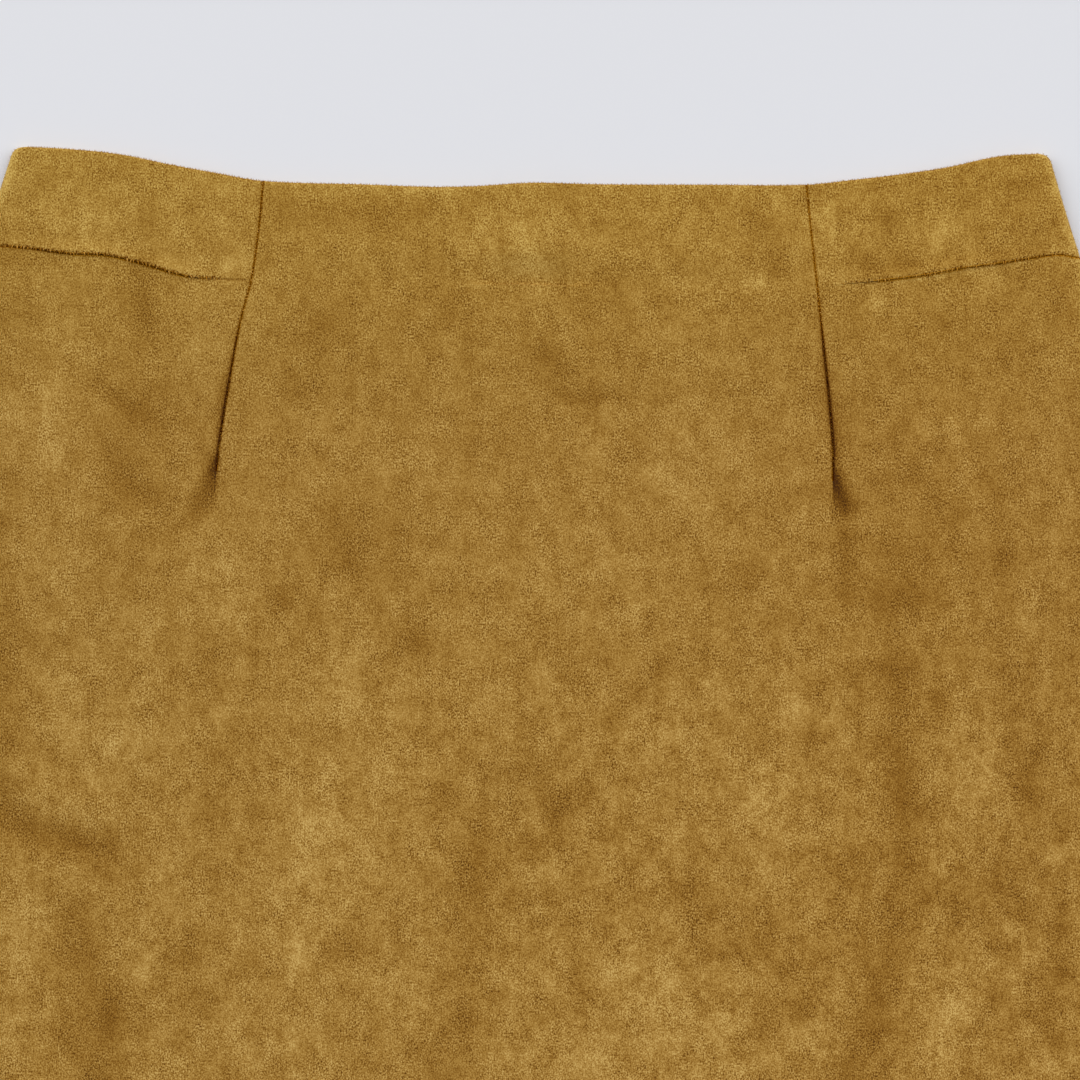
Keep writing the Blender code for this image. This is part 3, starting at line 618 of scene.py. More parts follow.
# and how broad the outer shade is
dartShadeBreadth = (
    (0.050, 0.0008, 0.0010),
    (0.075, 0.0008, 0.0013),
    (0.090, 0.0010, 0.0021),
    (0.100, 0.0014, 0.0016),
    (0.110, 0.0015, 0.0014),
    (0.116, 0.0020, 0.0020),
)

# How the lattices are divided, across and down. First the stretches of places, each with
# the metres between points and the metres of cloth in a lattice step, then single places,
# and then the seams that have closer points: place, metres in a step, and on which sides.
sideFold = (2, 2.2, 2.4, 2.6, 2.8, 2.9, 3)
divisions = {
    "frontAcross": (((0, 1, 0.0022, 0.100), (1, 2, 0.00231, 0.112)), sideFold, ((1, 0.100, (-1, 1)),)),
    "frontDown": (
        ((-1, 0, 0.0018, 0.035), (0, 1, 0.0021, 0.071), (1, 1.43, 0.0021, 0.498),
         (1.43, 1.94, 0.0056, 0.498), (1.94, 2, 0.003, 0.498)),
        (2,), ((-1, 0.035, (1,)), (0, 0.071, (1,)), (2, 0.498, (-1,))),
    ),
    "bandAcross": (((1, 2, 0.0013, 0.086),), sideFold, ((1, 0.100, (1,)),)),
    "bandDown": (((-1, 0, 0.0013, 0.035),), (0,), ((-1, 0.035, (1,)), (0, 0.035, (-1,)))),
    "backAcross": (
        ((0, 1, 0.0042, 0.095), (1, 2, 0.0042, 0.112)), sideFold, ((1, 0.100, (-1, 1)), (0, 0.095, (1,))),
    ),
    "backDown": (
        ((0, 1, 0.0042, 0.104), (1, 1.93, 0.0042, 0.464), (1.93, 2, 0.003, 0.464)),
        (2,), ((0, 0.104, (1,)), (2, 0.464, (-1,))),
    ),
}
# the back bands have better places where the slider's slot narrows and where one layer ends
slotClear = (-0.02, 0.08)  # lattice rows from the slot's end
layerClear = (0.125, 0.165)
layerColumns = [0.137, 0.155]


def latticePlaces(name):
    stretches, single, seams = divisions[name]
    places = list(single)
    for start, end, spacing, step in stretches:
        count = max(1, round((end - start) * step / spacing))
        places += [start + (end - start) * n / count for n in range(count)]
    places = {round(p, 6) for p in places}
    for at, step, sides in seams:
        crowded = [p for p in places if any(0 < (p - at) * s * step < cloth["lipClear"] for s in sides)]
        places = places.difference(crowded)
        places |= {round(at + s * d / step, 6) for s in sides for d in cloth["lip"]} | {round(at, 6)}
    return sorted(places)


def exchanged(places, low, high, better):
    # the places between low and high give way to better ones
    return sorted([p for p in places if not low < p < high] + better)


def towardsFaces(vertex):
    # which way, in lattice steps, a vertex's own faces lie from it
    middles = [face.calc_center_median() for face in vertex.link_faces]
    dx = sum(m.x for m in middles) / len(middles) - vertex.co.x
    dy = sum(m.y for m in middles) / len(middles) - vertex.co.y
    return [0 if abs(d) < 0.25 else math.copysign(1, d) for d in (dx, dy)]


def rolled(distance, radius):
    # how far a surface has turned down at a distance from its edge
    inside = np.clip(radius - distance, 0, radius)
    return radius - np.sqrt(np.maximum(radius**2 - inside**2, 0))


def opened(x, below, row, sideMark, back):
    # the cloth draws aside at the zip slider's slot and at the walking slit
    if not back:
        return x
    narrowing = ease((zipPlace["slotEnd"] - 1 + zipPlace["slotEase"] - row) / zipPlace["slotEase"])
    shift = (zipPlace["slotHalf"] - pattern["seamGap"] / 2) * narrowing
    ventLength = pattern["length"] - pattern["ventTop"]
    shift = shift + pattern["ventOpen"] / 2 * np.clip(below - pattern["ventTop"], 0, None) / ventLength
    side = np.where(x == 0, sideMark, np.sign(x))
    return x + side * shift * np.clip(1 - abs(x) / zipPlace["drawnAside"], 0, 1)


def meshFrom(name, bm):
    mesh = bpy.data.meshes.new(name)
    bm.to_mesh(mesh)
    bm.free()
    return mesh


def linked(name, data):
    made = bpy.data.objects.new(name, data)
    bpy.context.scene.collection.objects.link(made)
    return made


def addTone(mesh, tones):
    mesh.attributes.new("tone", "FLOAT", "POINT").data.foreach_set("value", tones.astype(np.float32))


def skirtPiece(mesh, looks, nodeName=None):
    # the mesh becomes a piece of the skirt, in place of the model's plain one if it's named
    piece = linked(mesh.name, mesh)
    for look in looks:
        mesh.materials.append(look)
    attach(piece, "skirt")
    if nodeName:
        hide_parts(nodeName)
    print(mesh.name, len(mesh.polygons), "faces")
    return piece


def layCloth(nodeName, columns, rows, kept=None, slits=()):
    # a flat lattice is cut to the piece, slit at its darts, given two faces and laid in place
    columns, rows = np.array(columns, float), np.array(rows, float)
    across, down = len(columns) - 1, len(rows) - 1
    bm = bmesh.new()
    bmesh.ops.create_grid(bm, x_segments=across, y_segments=down, size=0.5)
    bmesh.ops.scale(bm, vec=(across, -down, 1), verts=bm.verts)
    bmesh.ops.translate(bm, vec=(across / 2, down / 2, 0), verts=bm.verts)
    if kept:
        outside = []
        for face in bm.faces:
            middle = face.calc_center_median()
            i, j = int(middle.x), int(middle.y)
            if not kept((columns[i] + columns[i + 1]) / 2, (rows[j] + rows[j + 1]) / 2):
                outside.append(face)
        bmesh.ops.delete(bm, geom=outside, context="FACES")
    slitPlaces = {int(np.argmin(abs(columns - c))) for c in slits}
    slitEdges = []
    for edge in bm.edges:
        a, b = edge.verts
        if round(a.co.x) in slitPlaces and round(a.co.x) == round(b.co.x):
            if all(0 <= rows[round(v.co.y)] <= 1 for v in (a, b)):
                slitEdges.append(edge)
    bmesh.ops.split_edges(bm, edges=slitEdges)
    marks = []
    for vertex in bm.verts:
        column, row = columns[round(vertex.co.x)], rows[round(vertex.co.y)]
        seamColumn = column in (-1, 0, 1) and (row < 1 or column == 0)
        if not (seamColumn or row == 0):
            continue
        way = towardsFaces(vertex)
        marks.append((vertex, way[0] if seamColumn else 0, way[1] if row == 0 else 0))
    for vertex, dx, dy in marks:
        vertex.co.x += cloth["sideMark"] * dx
        vertex.co.y += cloth["sideMark"] * dy
    bmesh.ops.solidify(bm, geom=bm.faces[:], thickness=1)

    flat = np.array([vertex.co[:] for vertex in bm.verts])
    u, v = np.rint(flat[:, 0]).astype(int), np.rint(flat[:, 1]).astype(int)
    markX, markY = (np.rint((flat[:, n] - at) / cloth["sideMark"]) for n, at in enumerate((u, v)))
    inner = abs(flat[:, 2]) > 0.5
    spots, tone, strip, inSeam = layPoints(columns[u], rows[v], markX, markY, inner, nodeName)
    for vertex, spot in zip(bm.verts, spots):
        vertex.co = spot
    bmesh.ops.recalc_face_normals(bm, faces=bm.faces[:])
    if bm.calc_volume(signed=True) < 0:
        bmesh.ops.reverse_faces(bm, faces=bm.faces[:])
    bm.verts.index_update()
    oneLayer = strip[:, 2] < (pattern["cloth"] + pattern["doubled"]) / 2
    for face in bm.faces:
        face.smooth = True
        corners = [vertex.index for vertex in face.verts]
        if (inner & oneLayer)[corners].all():
            face.material_index = 1
        elif inSeam[corners].all():
            face.material_index = 2
    mesh = meshFrom(f"{nodeName}_cloth", bm)
    mesh.set_sharp_from_angle(angle=math.radians(cloth["sharp"]))
    addTone(mesh, tone)
    corners = np.empty(len(mesh.loops), np.int32)
    mesh.loops.foreach_get("vertex_index", corners)
    mesh.uv_layers.new(name="cloth").data.foreach_set("uv", strip[corners, :2].astype(np.float32).ravel())
    return skirtPiece(mesh, (suede, suedeBacking, seamShadeSuede), nodeName)


def wallThickness(x, below, row, band, back):
    # one layer, and two in the waistband and the turned hem
    p = pattern
    bandWall = np.where(back & (abs(x) < zipPlace["bandLayerHalf"]), p["cloth"], p["doubled"])
    turned = ease((below - (p["length"] - p["hemTurn"] - p["hemRise"])) / p["hemStep"])
    return np.where(band | (row < 0), bandWall, p["cloth"] + (p["doubled"] - p["cloth"]) * turned)


def edgeDistances(x, below, column, row, band, back):
    # how far each edge is, and how open its seam lies there
    middle = pattern["fold"] / 2
    fromDart, fromWaist = abs(abs(x) - dartLine(x, below, back)), abs(below - waistSeam(x))
    whole = np.ones_like(x)
    dartOpen = whole
    if not band:
        fromDart = np.where(row > 1, 1.0, fromDart)
        fromWaist = np.where((abs(column) < 1) | (row < 0), 1.0, fromWaist)
        dartOpen = ease((1 - row) / cloth["dartEase"])
    flatPart = np.maximum(sideEdge(x, below) - middle - abs(x), 0) * (abs(column) < 2)
    return {
        "top": (below - topEdge(x, back), whole),
        "hem": (hemEdge(x) - below, whole),
        "dart": (fromDart, dartOpen * (whole if back else bySide(uprightSeamDark, x, below))),
        "centre": (abs(x), whole),
        "waist": (fromWaist, seamDepth(x, back)),
        "side": (np.clip(3 - abs(column), 0, 1) * middle * math.pi / 2 + flatPart, whole),
    }


def edgeForm(distances, x, wall, nodeName):
    # how far the face rolls in at the edges and the wrong side with it, the painted shade in the seams,
    # and where the deeper painted shade goes
    band, back = "band" in nodeName, nodeName.startswith("back")
    lip, foldedIn, shade = (np.zeros_like(x) for _ in range(3))
    inSeam = np.zeros(len(x), bool)
    for edge, (radius, dark) in pieceEdges[nodeName.removesuffix("_left").removesuffix("_right")].items():
        distance, openness = distances[edge]
        lip = np.maximum(lip, rolled(distance, radius) * openness)
        if edge in ("top", "hem"):
            foldedIn = np.maximum(foldedIn, rolled(distance, radius))
        shade = shade + dark * openness * np.exp(-((distance / cloth["seamShade"]) ** 2))
        reach = cloth["deepShadeAtWaist"] if edge == "waist" and not (band or back) else cloth["deepShade"]
        deepShade = (distance < reach) & (dark * openness > cloth["closed"])
        if edge == "waist" and not back:
            first, joined = cloth["stretchFrom"]
            inStretch = np.floor(abs(x) / cloth["stretch"]) % 2 > 0
            deepShade &= abs(x) > np.where(inStretch, first, joined)
        inSeam |= deepShade
    foldedIn = np.minimum(foldedIn, wall * cloth["foldMost"])
    most = np.where(foldedIn > 0, cloth["foldMost"], cloth["rollMost"])
    return np.minimum(lip, wall * most), foldedIn, np.clip(shade, 0, 1), inSeam


def layPoints(column, row, markX, markY, inner, nodeName):
    # each lattice point's world place, tone of nap and painted shade, place on the flat cloth, and if it's
    # in a seam
    p = pattern
    band, back = "band" in nodeName, nodeName.startswith("back")
    x, below, angle = latticePoint(column, row, back)
    wall = wallThickness(x, below, row, band, back)
    distances = edgeDistances(x, below, column, row, band, back)
    lip, foldedIn, shade, inSeam = edgeForm(distances, x, wall, nodeName)
    depth = np.where(inner, wall - foldedIn, lip)
    middle, gap = p["fold"] / 2, p["seamGap"] / 2
    radius = middle - depth
    onFold = abs(column) > 2
    if back:
        inland = ease((sideEdge(x, below) - middle - abs(x)) / p["sideEase"])
        crease = np.maximum(creaseDepth(backStrokes, x, below), 0) * inland * (not band)
        z = np.where(angle == 0, domeLift(x, below) + depth + crease, middle - radius * np.cos(angle))
        z = np.where(onFold, np.minimum(z, middle - gap), z)
        tone = napAndShadeTone(backStrokes, backPatches, x, below)
    else:
        z = np.where(angle == 0, frontTop(x, below, band) - depth, middle + radius * np.cos(angle))
        z = np.where(onFold, np.maximum(z, middle + gap), z)
        tone = napAndShadeTone(frontStrokes, frontPatches + hemPatches, x, below)
        tone = tone + dartShade(x, below, column, markX) + cloth["ridgeTone"] * waistRidge(x, below, band)
    tone = tone + cloth["seamTone"] * shade
    tone = tone + cloth["sideTone"] * np.exp(-((distances["side"][0] / cloth["sideGlow"]) ** 4))
    side = np.where(x == 0, markX, np.sign(x))
    worldX = opened(x, below, row, markX, back) + side * radius * np.sin(angle)
    worldX = worldX + markX * gap * slitShare(below, row, back)
    waistGap = gap * np.clip(seamDepth(x, back) * cloth["waistOpens"], cloth["waistLeast"], 1)
    worldY = p["length"] / 2 - (below + markY * waistGap)
    unrolled = x + side * angle * middle + (cloth["backAside"] if back else 0.0)
    strip = np.stack((unrolled, -below, wall), axis=1)
    return np.stack((worldX, worldY, z), axis=1), tone, strip, inSeam


def dartShade(x, below, column, markX):
    # tone of the shade on both sides of the upright seam and its dart
    fromDart = abs(x) - dartLine(x, below, False)
    outer = np.exp(-np.maximum(fromDart, 0) / bySide(dartShadeBreadth, x, below))
    centreward = np.exp(np.minimum(fromDart, 0) / cloth["innerShade"])
    onOuterSide = (abs(column) > 1) | ((abs(column) == 1) & (markX * x >= 0))
    outerTone, innerTone = bySide(dartOuterShade, x, below), bySide(dartInnerShade, x, below)
    return np.where(onOuterSide, outerTone * outer, innerTone * centreward)


def seamDepth(x, back):
    # a waist seam closes up before it meets the upright seam
    return np.ones_like(x) if back else bySide(waistSeamDark, x, abs(x))


def slitShare(below, row, back):
    # the upright seam is drawn tight at the top and opens towards the dart's point
    if back:
        return np.ones_like(below)
    u = uprightSeam
    widening = u["tight"] + u["opening"] * ease((below - u["opensFrom"]) / u["opensOver"])
    return widening * np.where(row > 0, ease((1.0 - row) / u["pointEase"]), 1.0)


def waistRidge(x, below, band):
    # 1 along the waistband's lower edge, where it lies on the turned seam
    above = (waistSeam(x) - below - cloth["ridgeOff"]) / cloth["ridgeBreadth"]
    outward = ease((abs(x) - dartLine(x, below, False) - cloth["ridgeStart"]) / cloth["ridgeGrowth"])
    return np.where(band, np.exp(-(above**2)) * outward, 0)


def frontTop(x, below, band):
    # height of the front's face with its creases and with the ridges over its seams
    level, share = frontLevel(x, below, band)
    grown = np.maximum(ease((below - waistSeam(x)) / cloth["creaseEase"]), cloth["creaseLeast"])
    crease = creaseDepth(frontStrokes, x, below) * share * np.where(band, cloth["bandCrease"], grown)
    u = uprightSeam
    beside = (abs(abs(x) - dartLine(x, below, False)) - u["ridgeOff"]) / u["ridgeBreadth"]
    upright = u["ridge"] * np.exp(-(beside**2)) * ease((u["ridgeEnd"] - below) / u["ridgeEase"])
    return level - crease + (upright + cloth["ridge"] * waistRidge(x, below, band)) * share


def makeCloth():
    frontHalf, backHalf = latticePlaces("frontAcross"), latticePlaces("backAcross")
    bandAcross, bandDown = latticePlaces("bandAcross"), latticePlaces("bandDown")
    backDown = latticePlaces("backDown")
    pieces = {"front_panel": layCloth(
        "front_panel", [-c for c in reversed(frontHalf[1:])] + frontHalf, latticePlaces("frontDown"),
        kept=lambda column, row: abs(column) < 1 or row > 0, slits=(-1, 1),
    )}
    slotRow = zipPlace["slotEnd"] - 1
    slotRows = [slotRow + zipPlace["slotEase"] * n / 5 for n in range(6)]
    backBandDown = exchanged(bandDown, slotRow + slotClear[0], slotRow + slotClear[1], slotRows)
    backBandAcross = exchanged(backHalf, layerClear[0], layerClear[1], layerColumns)
    for side, turn in (("left", 1), ("right", -1)):
        for kind, columns, rows, slits in (
            ("front_band", bandAcross, bandDown, ()),
            ("back_band", backBandAcross, backBandDown, ()),
            ("back_panel", backHalf, backDown, (turn,)),
        ):
            facing = sorted(turn * c for c in columns)
            pieces[f"{kind}_{side}"] = layCloth(f"{kind}_{side}", facing, rows, slits=slits)
    return pieces


def linear(hexColour):
    values = [int(hexColour[i : i + 2], 16) / 255 for i in (1, 3, 5)]
    return [v / 12.92 if v <= 0.04045 else ((v + 0.055) / 1.055) ** 2.4 for v in values] + [1]


def node(tree, kind, settings=None, inputs=None, links=None):
    made = tree.nodes.new("ShaderNode" + kind)
    for key, value in (settings or {}).items():
        setattr(made, key, value)
    for key, value in (inputs or {}).items():
        made.inputs[key].default_value = value
    for key, source in (links or {}).items():
        tree.links.new(source, made.inputs[key])
    return made


def startMaterial(name, finish):
    # a material and its shader's constant values
    made = bpy.data.materials.new(name)
    made.use_nodes = True
    shader = made.node_tree.nodes["Principled BSDF"]
    for socket, value in finish.items():
        shader.inputs[socket].default_value = value
    return made, made.node_tree, shader


def fillRamp(ramp, colours):
    elements = ramp.color_ramp.elements
    while len(elements) < len(colours):
        elements.new(0.5)
    for i, colour in enumerate(colours):
        elements[i].position = i / (len(colours) - 1)
        elements[i].color = linear(colour)


suedeLook = {
    # painted shade deep in a seam, nap lying away, and up to nap standing
    "ramp": ("#422102", "#633D04", "#855A18", "#A17832", "#B89049", "#CFAC63"),
    "rampTones": (-69, 46),  # tone at each end of the ramp
    # mm across, detail and roughness of each unevenness of the nap
    "fibre": (0.5, 1.5, 0.6),  # single tips are too fine to show, so these are tufts of them
    "tuft": (9, 2.0, 0.5),  # where the speckle grows stronger and fainter
    "mottle": (8, 4.0, 0.95),  # small blotches
    "napStretch": 0.8,  # they are longer down the skirt than across it
    "middling": (0.3, 0.7),  # between these lies most of what varies from 0 to 1
    "fibreTone": 62,
    "fibreShare": (0.62, 1.38),
    "mottleTone": 44,
    "mottleShare": (0.60, 1.58),  # how far it breaks up the listed patches
    "roughness": 0.95,
    "gloss": 0.15,
    "sheen": 0.25,
    "sheenSpread": 0.45,
    "sheenTint": "#E8CF8E",
    "relief": 0.5,
    "reliefDepth": 0.0002,
    "rubbed": (-0.10, -0.26),  # metres, from the waist to where the nap is rubbed more
    "mottleGrowth": (0.8, 1.1),  # the mottle grows stronger between these
    "sides": (-0.17, 0.17),  # metres, from the wearer's right to the left
    "sideMottle": (0.94, 1.14),
    "sideTints": ((0.990, 1.006, 1.030, 1.0), (1.006, 0.995, 0.990, 1.0)),  # the right is a little greener
    "goldenFrom": (-0.105, -0.010),  # metres, up to the waist
    "waistTint": (1.0, 1.0, 0.80, 1.0),  # the nap is a little more golden there
}

# Painted shade inside a seam: a shaded copy of the suede with no sheen or gloss and a redder,
# deeper ramp, standing for light that bounces from wall to wall there and comes out redder and deeper.
seamShadeLook = dict(suedeLook, gloss=0.0, sheen=0.0)
seamShadeLook["ramp"] = ("#451C00", "#683800", "#8B5807", "#A7751E", "#BB8A37", "#CFA252")

# fibres that cross a seam stand in the same deep light
shadedLook = dict(seamShadeLook, ramp=("#451B00", "#683703", "#88540D", "#A6701F", "#BA8633", "#CC9B4D"))


def toneColour(tree, tone, look):
    # a tone's colour, from deep painted shade and nap lying away to nap standing
    lowest, highest = look["rampTones"]
    factor = node(tree, "MapRange", inputs={"From Min": lowest, "From Max": highest}, links={"Value": tone})
    ramp = node(tree, "ValToRGB", links={"Fac": factor.outputs["Result"]})
    fillRamp(ramp, look["ramp"])
    return ramp.outputs["Color"]


def makeSuede(name, look):
    # Brushed microfibre: a dense short nap, so it is matt, soft at grazing angles,
    # speckled at the size of its fibre tips and clouded where it was stroked.
    made, tree, shader = startMaterial(name, {
        "Roughness": look["roughness"], "Specular IOR Level": look["gloss"], "Sheen Weight": look["sheen"],
        "Sheen Roughness": look["sheenSpread"], "Sheen Tint": linear(look["sheenTint"]),
    })
    flat = node(tree, "UVMap", {"uv_map": "cloth"})
    place = node(tree, "SeparateXYZ", links={0: flat.outputs["UV"]})
    stretch = (1.0, look["napStretch"], 1.0)
    nap = node(tree, "Mapping", inputs={"Scale": stretch}, links={"Vector": flat.outputs["UV"]})
    values = {"placedTone": node(tree, "Attribute", {"attribute_name": "tone"}).outputs["Fac"]}
    for part in ("fibre", "tuft", "mottle"):
        size, detail, roughness = look[part]
        noise = node(
            tree, "TexNoise", {"noise_dimensions": "2D"},
            {"Scale": 1 / (size * mm), "Detail": detail, "Roughness": roughness},
            {"Vector": nap.outputs["Vector"]},
        )
        values[part] = noise.outputs["Fac"]
    values["across"], values["down"] = place.outputs["X"], place.outputs["Y"]
    whole = (0, 1)
    for part, source, start, end, clamp in (
        ("speckle", "fibre", whole, (-look["fibreTone"], look["fibreTone"]), False),
        ("blotch", "mottle", whole, (-look["mottleTone"], look["mottleTone"]), False),
        ("fibreShare", "tuft", look["middling"], look["fibreShare"], True),
        ("mottleShare", "mottle", look["middling"], look["mottleShare"], True),
        ("downShare", "down", look["rubbed"], look["mottleGrowth"], True),
        ("sideShare", "across", look["sides"], look["sideMottle"], True),
        ("leftward", "across", look["sides"], whole, True),
        ("golden", "down", look["goldenFrom"], whole, True),
    ):
        ranged = node(
            tree, "MapRange", {"clamp": clamp},
            {"From Min": start[0], "From Max": start[1], "To Min": end[0], "To Max": end[1]},
            {"Value": values[source]},
        )
        values[part] = ranged.outputs["Result"]
    for part, operation, first, second in (
        ("growth", "MULTIPLY", "downShare", "sideShare"),
        ("grownBlotch", "MULTIPLY", "blotch", "growth"),
        ("unevenSpeckle", "MULTIPLY", "speckle", "fibreShare"),
        ("brokenTone", "MULTIPLY", "placedTone", "mottleShare"),
        ("fine", "ADD", "unevenSpeckle", "grownBlotch"),
        ("tone", "ADD", "fine", "brokenTone"),
    ):
        combined = node(tree, "Math", {"operation": operation}, links={0: values[first], 1: values[second]})
        values[part] = combined.outputs[0]
    # a Mix node's socket 0 is the share, and 6 and 7 are its colours
    tinted = node(
        tree, "Mix", {"data_type": "RGBA", "blend_type": "MULTIPLY"}, {7: look["waistTint"]},
        {0: values["golden"], 6: toneColour(tree, values["tone"], look)},
    )
    right, left = look["sideTints"]
    drift = node(tree, "Mix", {"data_type": "RGBA"}, {6: right, 7: left}, {0: values["leftward"]})
    hue = node(
        tree, "Mix", {"data_type": "RGBA", "blend_type": "MULTIPLY"}, {0: 1.0},
        {6: tinted.outputs[2], 7: drift.outputs[2]},
    )
    relief = node(
        tree, "Bump", inputs={"Strength": look["relief"], "Distance": look["reliefDepth"]},
        links={"Height": values["fibre"]},
    )
    tree.links.new(hue.outputs[2], shader.inputs["Base Color"])
    tree.links.new(relief.outputs["Normal"], shader.inputs["Normal"])
    return made


def ribbedFinish(tree, shader, place, look):
    # ribs or threads side by side
    ribs = node(
        tree, "TexWave", {"wave_type": "BANDS", "bands_direction": "X"},
        {"Scale": 2 * math.pi / (20 * look["rib"] * mm), "Distortion": look["wander"]}, {"Vector": place},
    )
    ramp = node(tree, "ValToRGB", links={"Fac": ribs.outputs["Fac"]})
    fillRamp(ramp, look["colours"])
    relief = node(
        tree, "Bump", inputs={"Strength": look["relief"], "Distance": look["reliefDepth"]},
        links={"Height": ribs.outputs["Fac"]},
    )
    tree.links.new(ramp.outputs["Color"], shader.inputs["Base Color"])
    tree.links.new(relief.outputs["Normal"], shader.inputs["Normal"])


backingLook = {
    "rib": 3.15827,  # mm, the knit's own ribs are too fine to show, so these are coarser
    "wander": 1.5,
    "colours": ("#8C6A33", "#A98649"),
    "roughness": 0.85,
    "gloss": 0.25,
    "relief": 0.4,
    "reliefDepth": 0.0002,
}


def makeBacking():
    # Knitted polyester ground, the wrong side of the suede: ribbed, a little paler and flatter.
    finish = {"Roughness": backingLook["roughness"], "Specular IOR Level": backingLook["gloss"]}
    made, tree, shader = startMaterial("knitted_backing", finish)
    flat = node(tree, "UVMap", {"uv_map": "cloth"})
    ribbedFinish(tree, shader, flat.outputs["UV"], backingLook)
    return made


suede = makeSuede("faux_suede", suedeLook)
seamShadeSuede = makeSuede("faux_suede_painted_seam_shade", seamShadeLook)
suedeBacking = makeBacking()
print("cloth materials made")
clothPieces = makeCloth()
print("cloth laid")

# loose fibres that stand out from the edges and cross the seams, in mm
fringe = {
    "thick": 0.055,  # at the root
    "clumps": 0.95,  # from clump to clump
    "clumpHalf": 0.13,
    "clumpDrift": 0.45,  # share of the distance between clumps by which one may stray
    "inClump": 0.72,  # share of the fibres that stand in clumps
    "lean": 0.28,  # sideways lean against the fibre's length
    "tone": (-14, 26),
    "edgeLengths": (0.35, 0.8),
    "edgeRoot": 0.15,  # how deep in the edge they are rooted
    "edgeDepth": (0.3, 1.7),  # how far under the front's face
    "edgeLift": 0.05,  # how much they rise
    "sideAngles": (-0.7, 0.9),  # radians round the side fold
    "seamRoot": 0.35,  # from the waist seam, and
    "uprightRoot": 0.3,  # from the upright one
    "seamDepth": (0.1, 0.4),
    "seamStays": 0.35,  # share that stays where a waist seam has closed up
    "waistLengths": (0.4, 1.0),
    "uprightLengths": (0.3, 0.7),
    "roughness": 0.9,
}
# tufts of fibres over the seams, in mm
tufts = {
    "apart": 1.3,  # along a seam
    "stray": 0.32,  # share of that by which one may stray
    "stays": 0.70,  # share that stays where a waist seam has closed up
    "thick": 0.30,
    "uprightThick": 0.21,
    "uprightLengths": (0.5, 0.9),
    "uprightRoot": 0.4,
    "uprightDepth": 0.08,
    "uprightWay": (-0.35, -0.05),  # how much they point down the skirt and into it
}
# light ones hang over a waist seam, and dark ones between them are painted shade that reaches up
lightTufts = {
    "tone": (-12, 46),
    "offset": 0.0,  # share of the distance between tufts
    "above": (0.2, 0.7),  # roots over the seam
    "depth": 0.06,
    "way": (0.0, -1.0, -0.10),
    "lengths": (0.6, 1.6),
}
darkTufts = {
    "tone": (-66, -40),
    "offset": 0.5,
    "above": (0.6, 1.1),
    "depth": 0.03,
    "way": (0.0, -1.0, -0.18),
    "lengths": (0.6, 1.0),
}
# the stretches of the seams that they cross, in metres
fringeSpans = {
    "waist": (0.100, 0.1865),
    "waistTufts": (0.107, 0.1855),
    "upright": (0.0145, 0.112),
    "uprightTufts": (0.0145, 0.060),
}
fringeRandom = np.random.default_rng(4)


def fibreTips(start, end, perMm):
    # distances along an edge in metres, thicker in clumps
    count = max(1, round((end - start) / mm * perMm))
    spots = fringeRandom.uniform(start, end, count)
    apart = fringe["clumps"] * mm
    clumps = np.arange(start, end, apart)
    clumps = clumps + fringeRandom.uniform(-fringe["clumpDrift"], fringe["clumpDrift"], len(clumps)) * apart
    held = fringeRandom.random(count) < fringe["inClump"]
    chosen = clumps[fringeRandom.integers(0, len(clumps), count)]
    spread = fringeRandom.normal(0, fringe["clumpHalf"] * mm, count)
    return np.where(held, np.clip(chosen + spread, start, end), spots)


def tuftSpots(span, offset):
    # tufts stand at almost even distances
    apart = tufts["apart"] * mm
    spots = np.arange(*span, apart) + offset * apart
    return spots + fringeRandom.uniform(-tufts["stray"], tufts["stray"], len(spots)) * apart


def makeFibres(name, rows, lengths, look, thick=fringe["thick"], toneRange=fringe["tone"]):
    # each fibre is one closed three-sided cone; rows hold (roots, ways)
    roots = np.vstack([row[0] for row in rows])
    ways = np.vstack([row[1] for row in rows])
    ways = ways + fringeRandom.normal(0, fringe["lean"], ways.shape)
    ways /= np.linalg.norm(ways, axis=1, keepdims=True)
    count = len(roots)
    long = fringeRandom.uniform(*lengths, count) * mm
    tones = fringeRandom.uniform(*toneRange, count)
    apart = 4  # the cones start in a row, so that a corner's place tells which fibre it is on
    bm = bmesh.new()
    bmesh.ops.create_cone(bm, cap_ends=True, segments=3, radius1=1, radius2=0, depth=1)
    made = 1
    while made < count:
        copies = bmesh.ops.duplicate(bm, geom=bm.verts[:] + bm.edges[:] + bm.faces[:])["geom"]
        copied = [part for part in copies if isinstance(part, bmesh.types.BMVert)]
        bmesh.ops.translate(bm, vec=(apart * made, 0, 0), verts=copied)
        made *= 2
    bmesh.ops.delete(bm, geom=[v for v in bm.verts if v.co.x > apart * (count - 0.5)], context="VERTS")
    mesh = meshFrom(name, bm)
    unit = np.empty(len(mesh.vertices) * 3, np.float32)
    mesh.vertices.foreach_get("co", unit)
    unit = unit.reshape(-1, 3)
    fibre = np.rint(unit[:, 0] / apart).astype(int)
    unit[:, 0] -= apart * fibre
    side = np.cross(ways, (0.31, 0.23, 0.92))  # across every fibre, as none lies this way
    side /= np.linalg.norm(side, axis=1, keepdims=True)
    other = np.cross(ways, side)
    spots = roots[fibre] + (unit[:, :1] * side[fibre] + unit[:, 1:2] * other[fibre]) * thick * mm
    spots = spots + (unit[:, 2:] + 0.5) * ways[fibre] * long[fibre, None]
    mesh.vertices.foreach_set("co", spots.astype(np.float32).ravel())
    addTone(mesh, tones[fibre])
    mesh.update()
    return skirtPiece(mesh, (look,))


def randomMm(limits, count):
    return fringeRandom.uniform(limits[0] * mm, limits[1] * mm, count)


def rooted(x, below, z, way):
    # roots on the cloth, and the way that each fibre stands
    roots = np.stack((x, pattern["length"] / 2 - below, z), axis=1)
    return roots, np.broadcast_to(way, roots.shape)


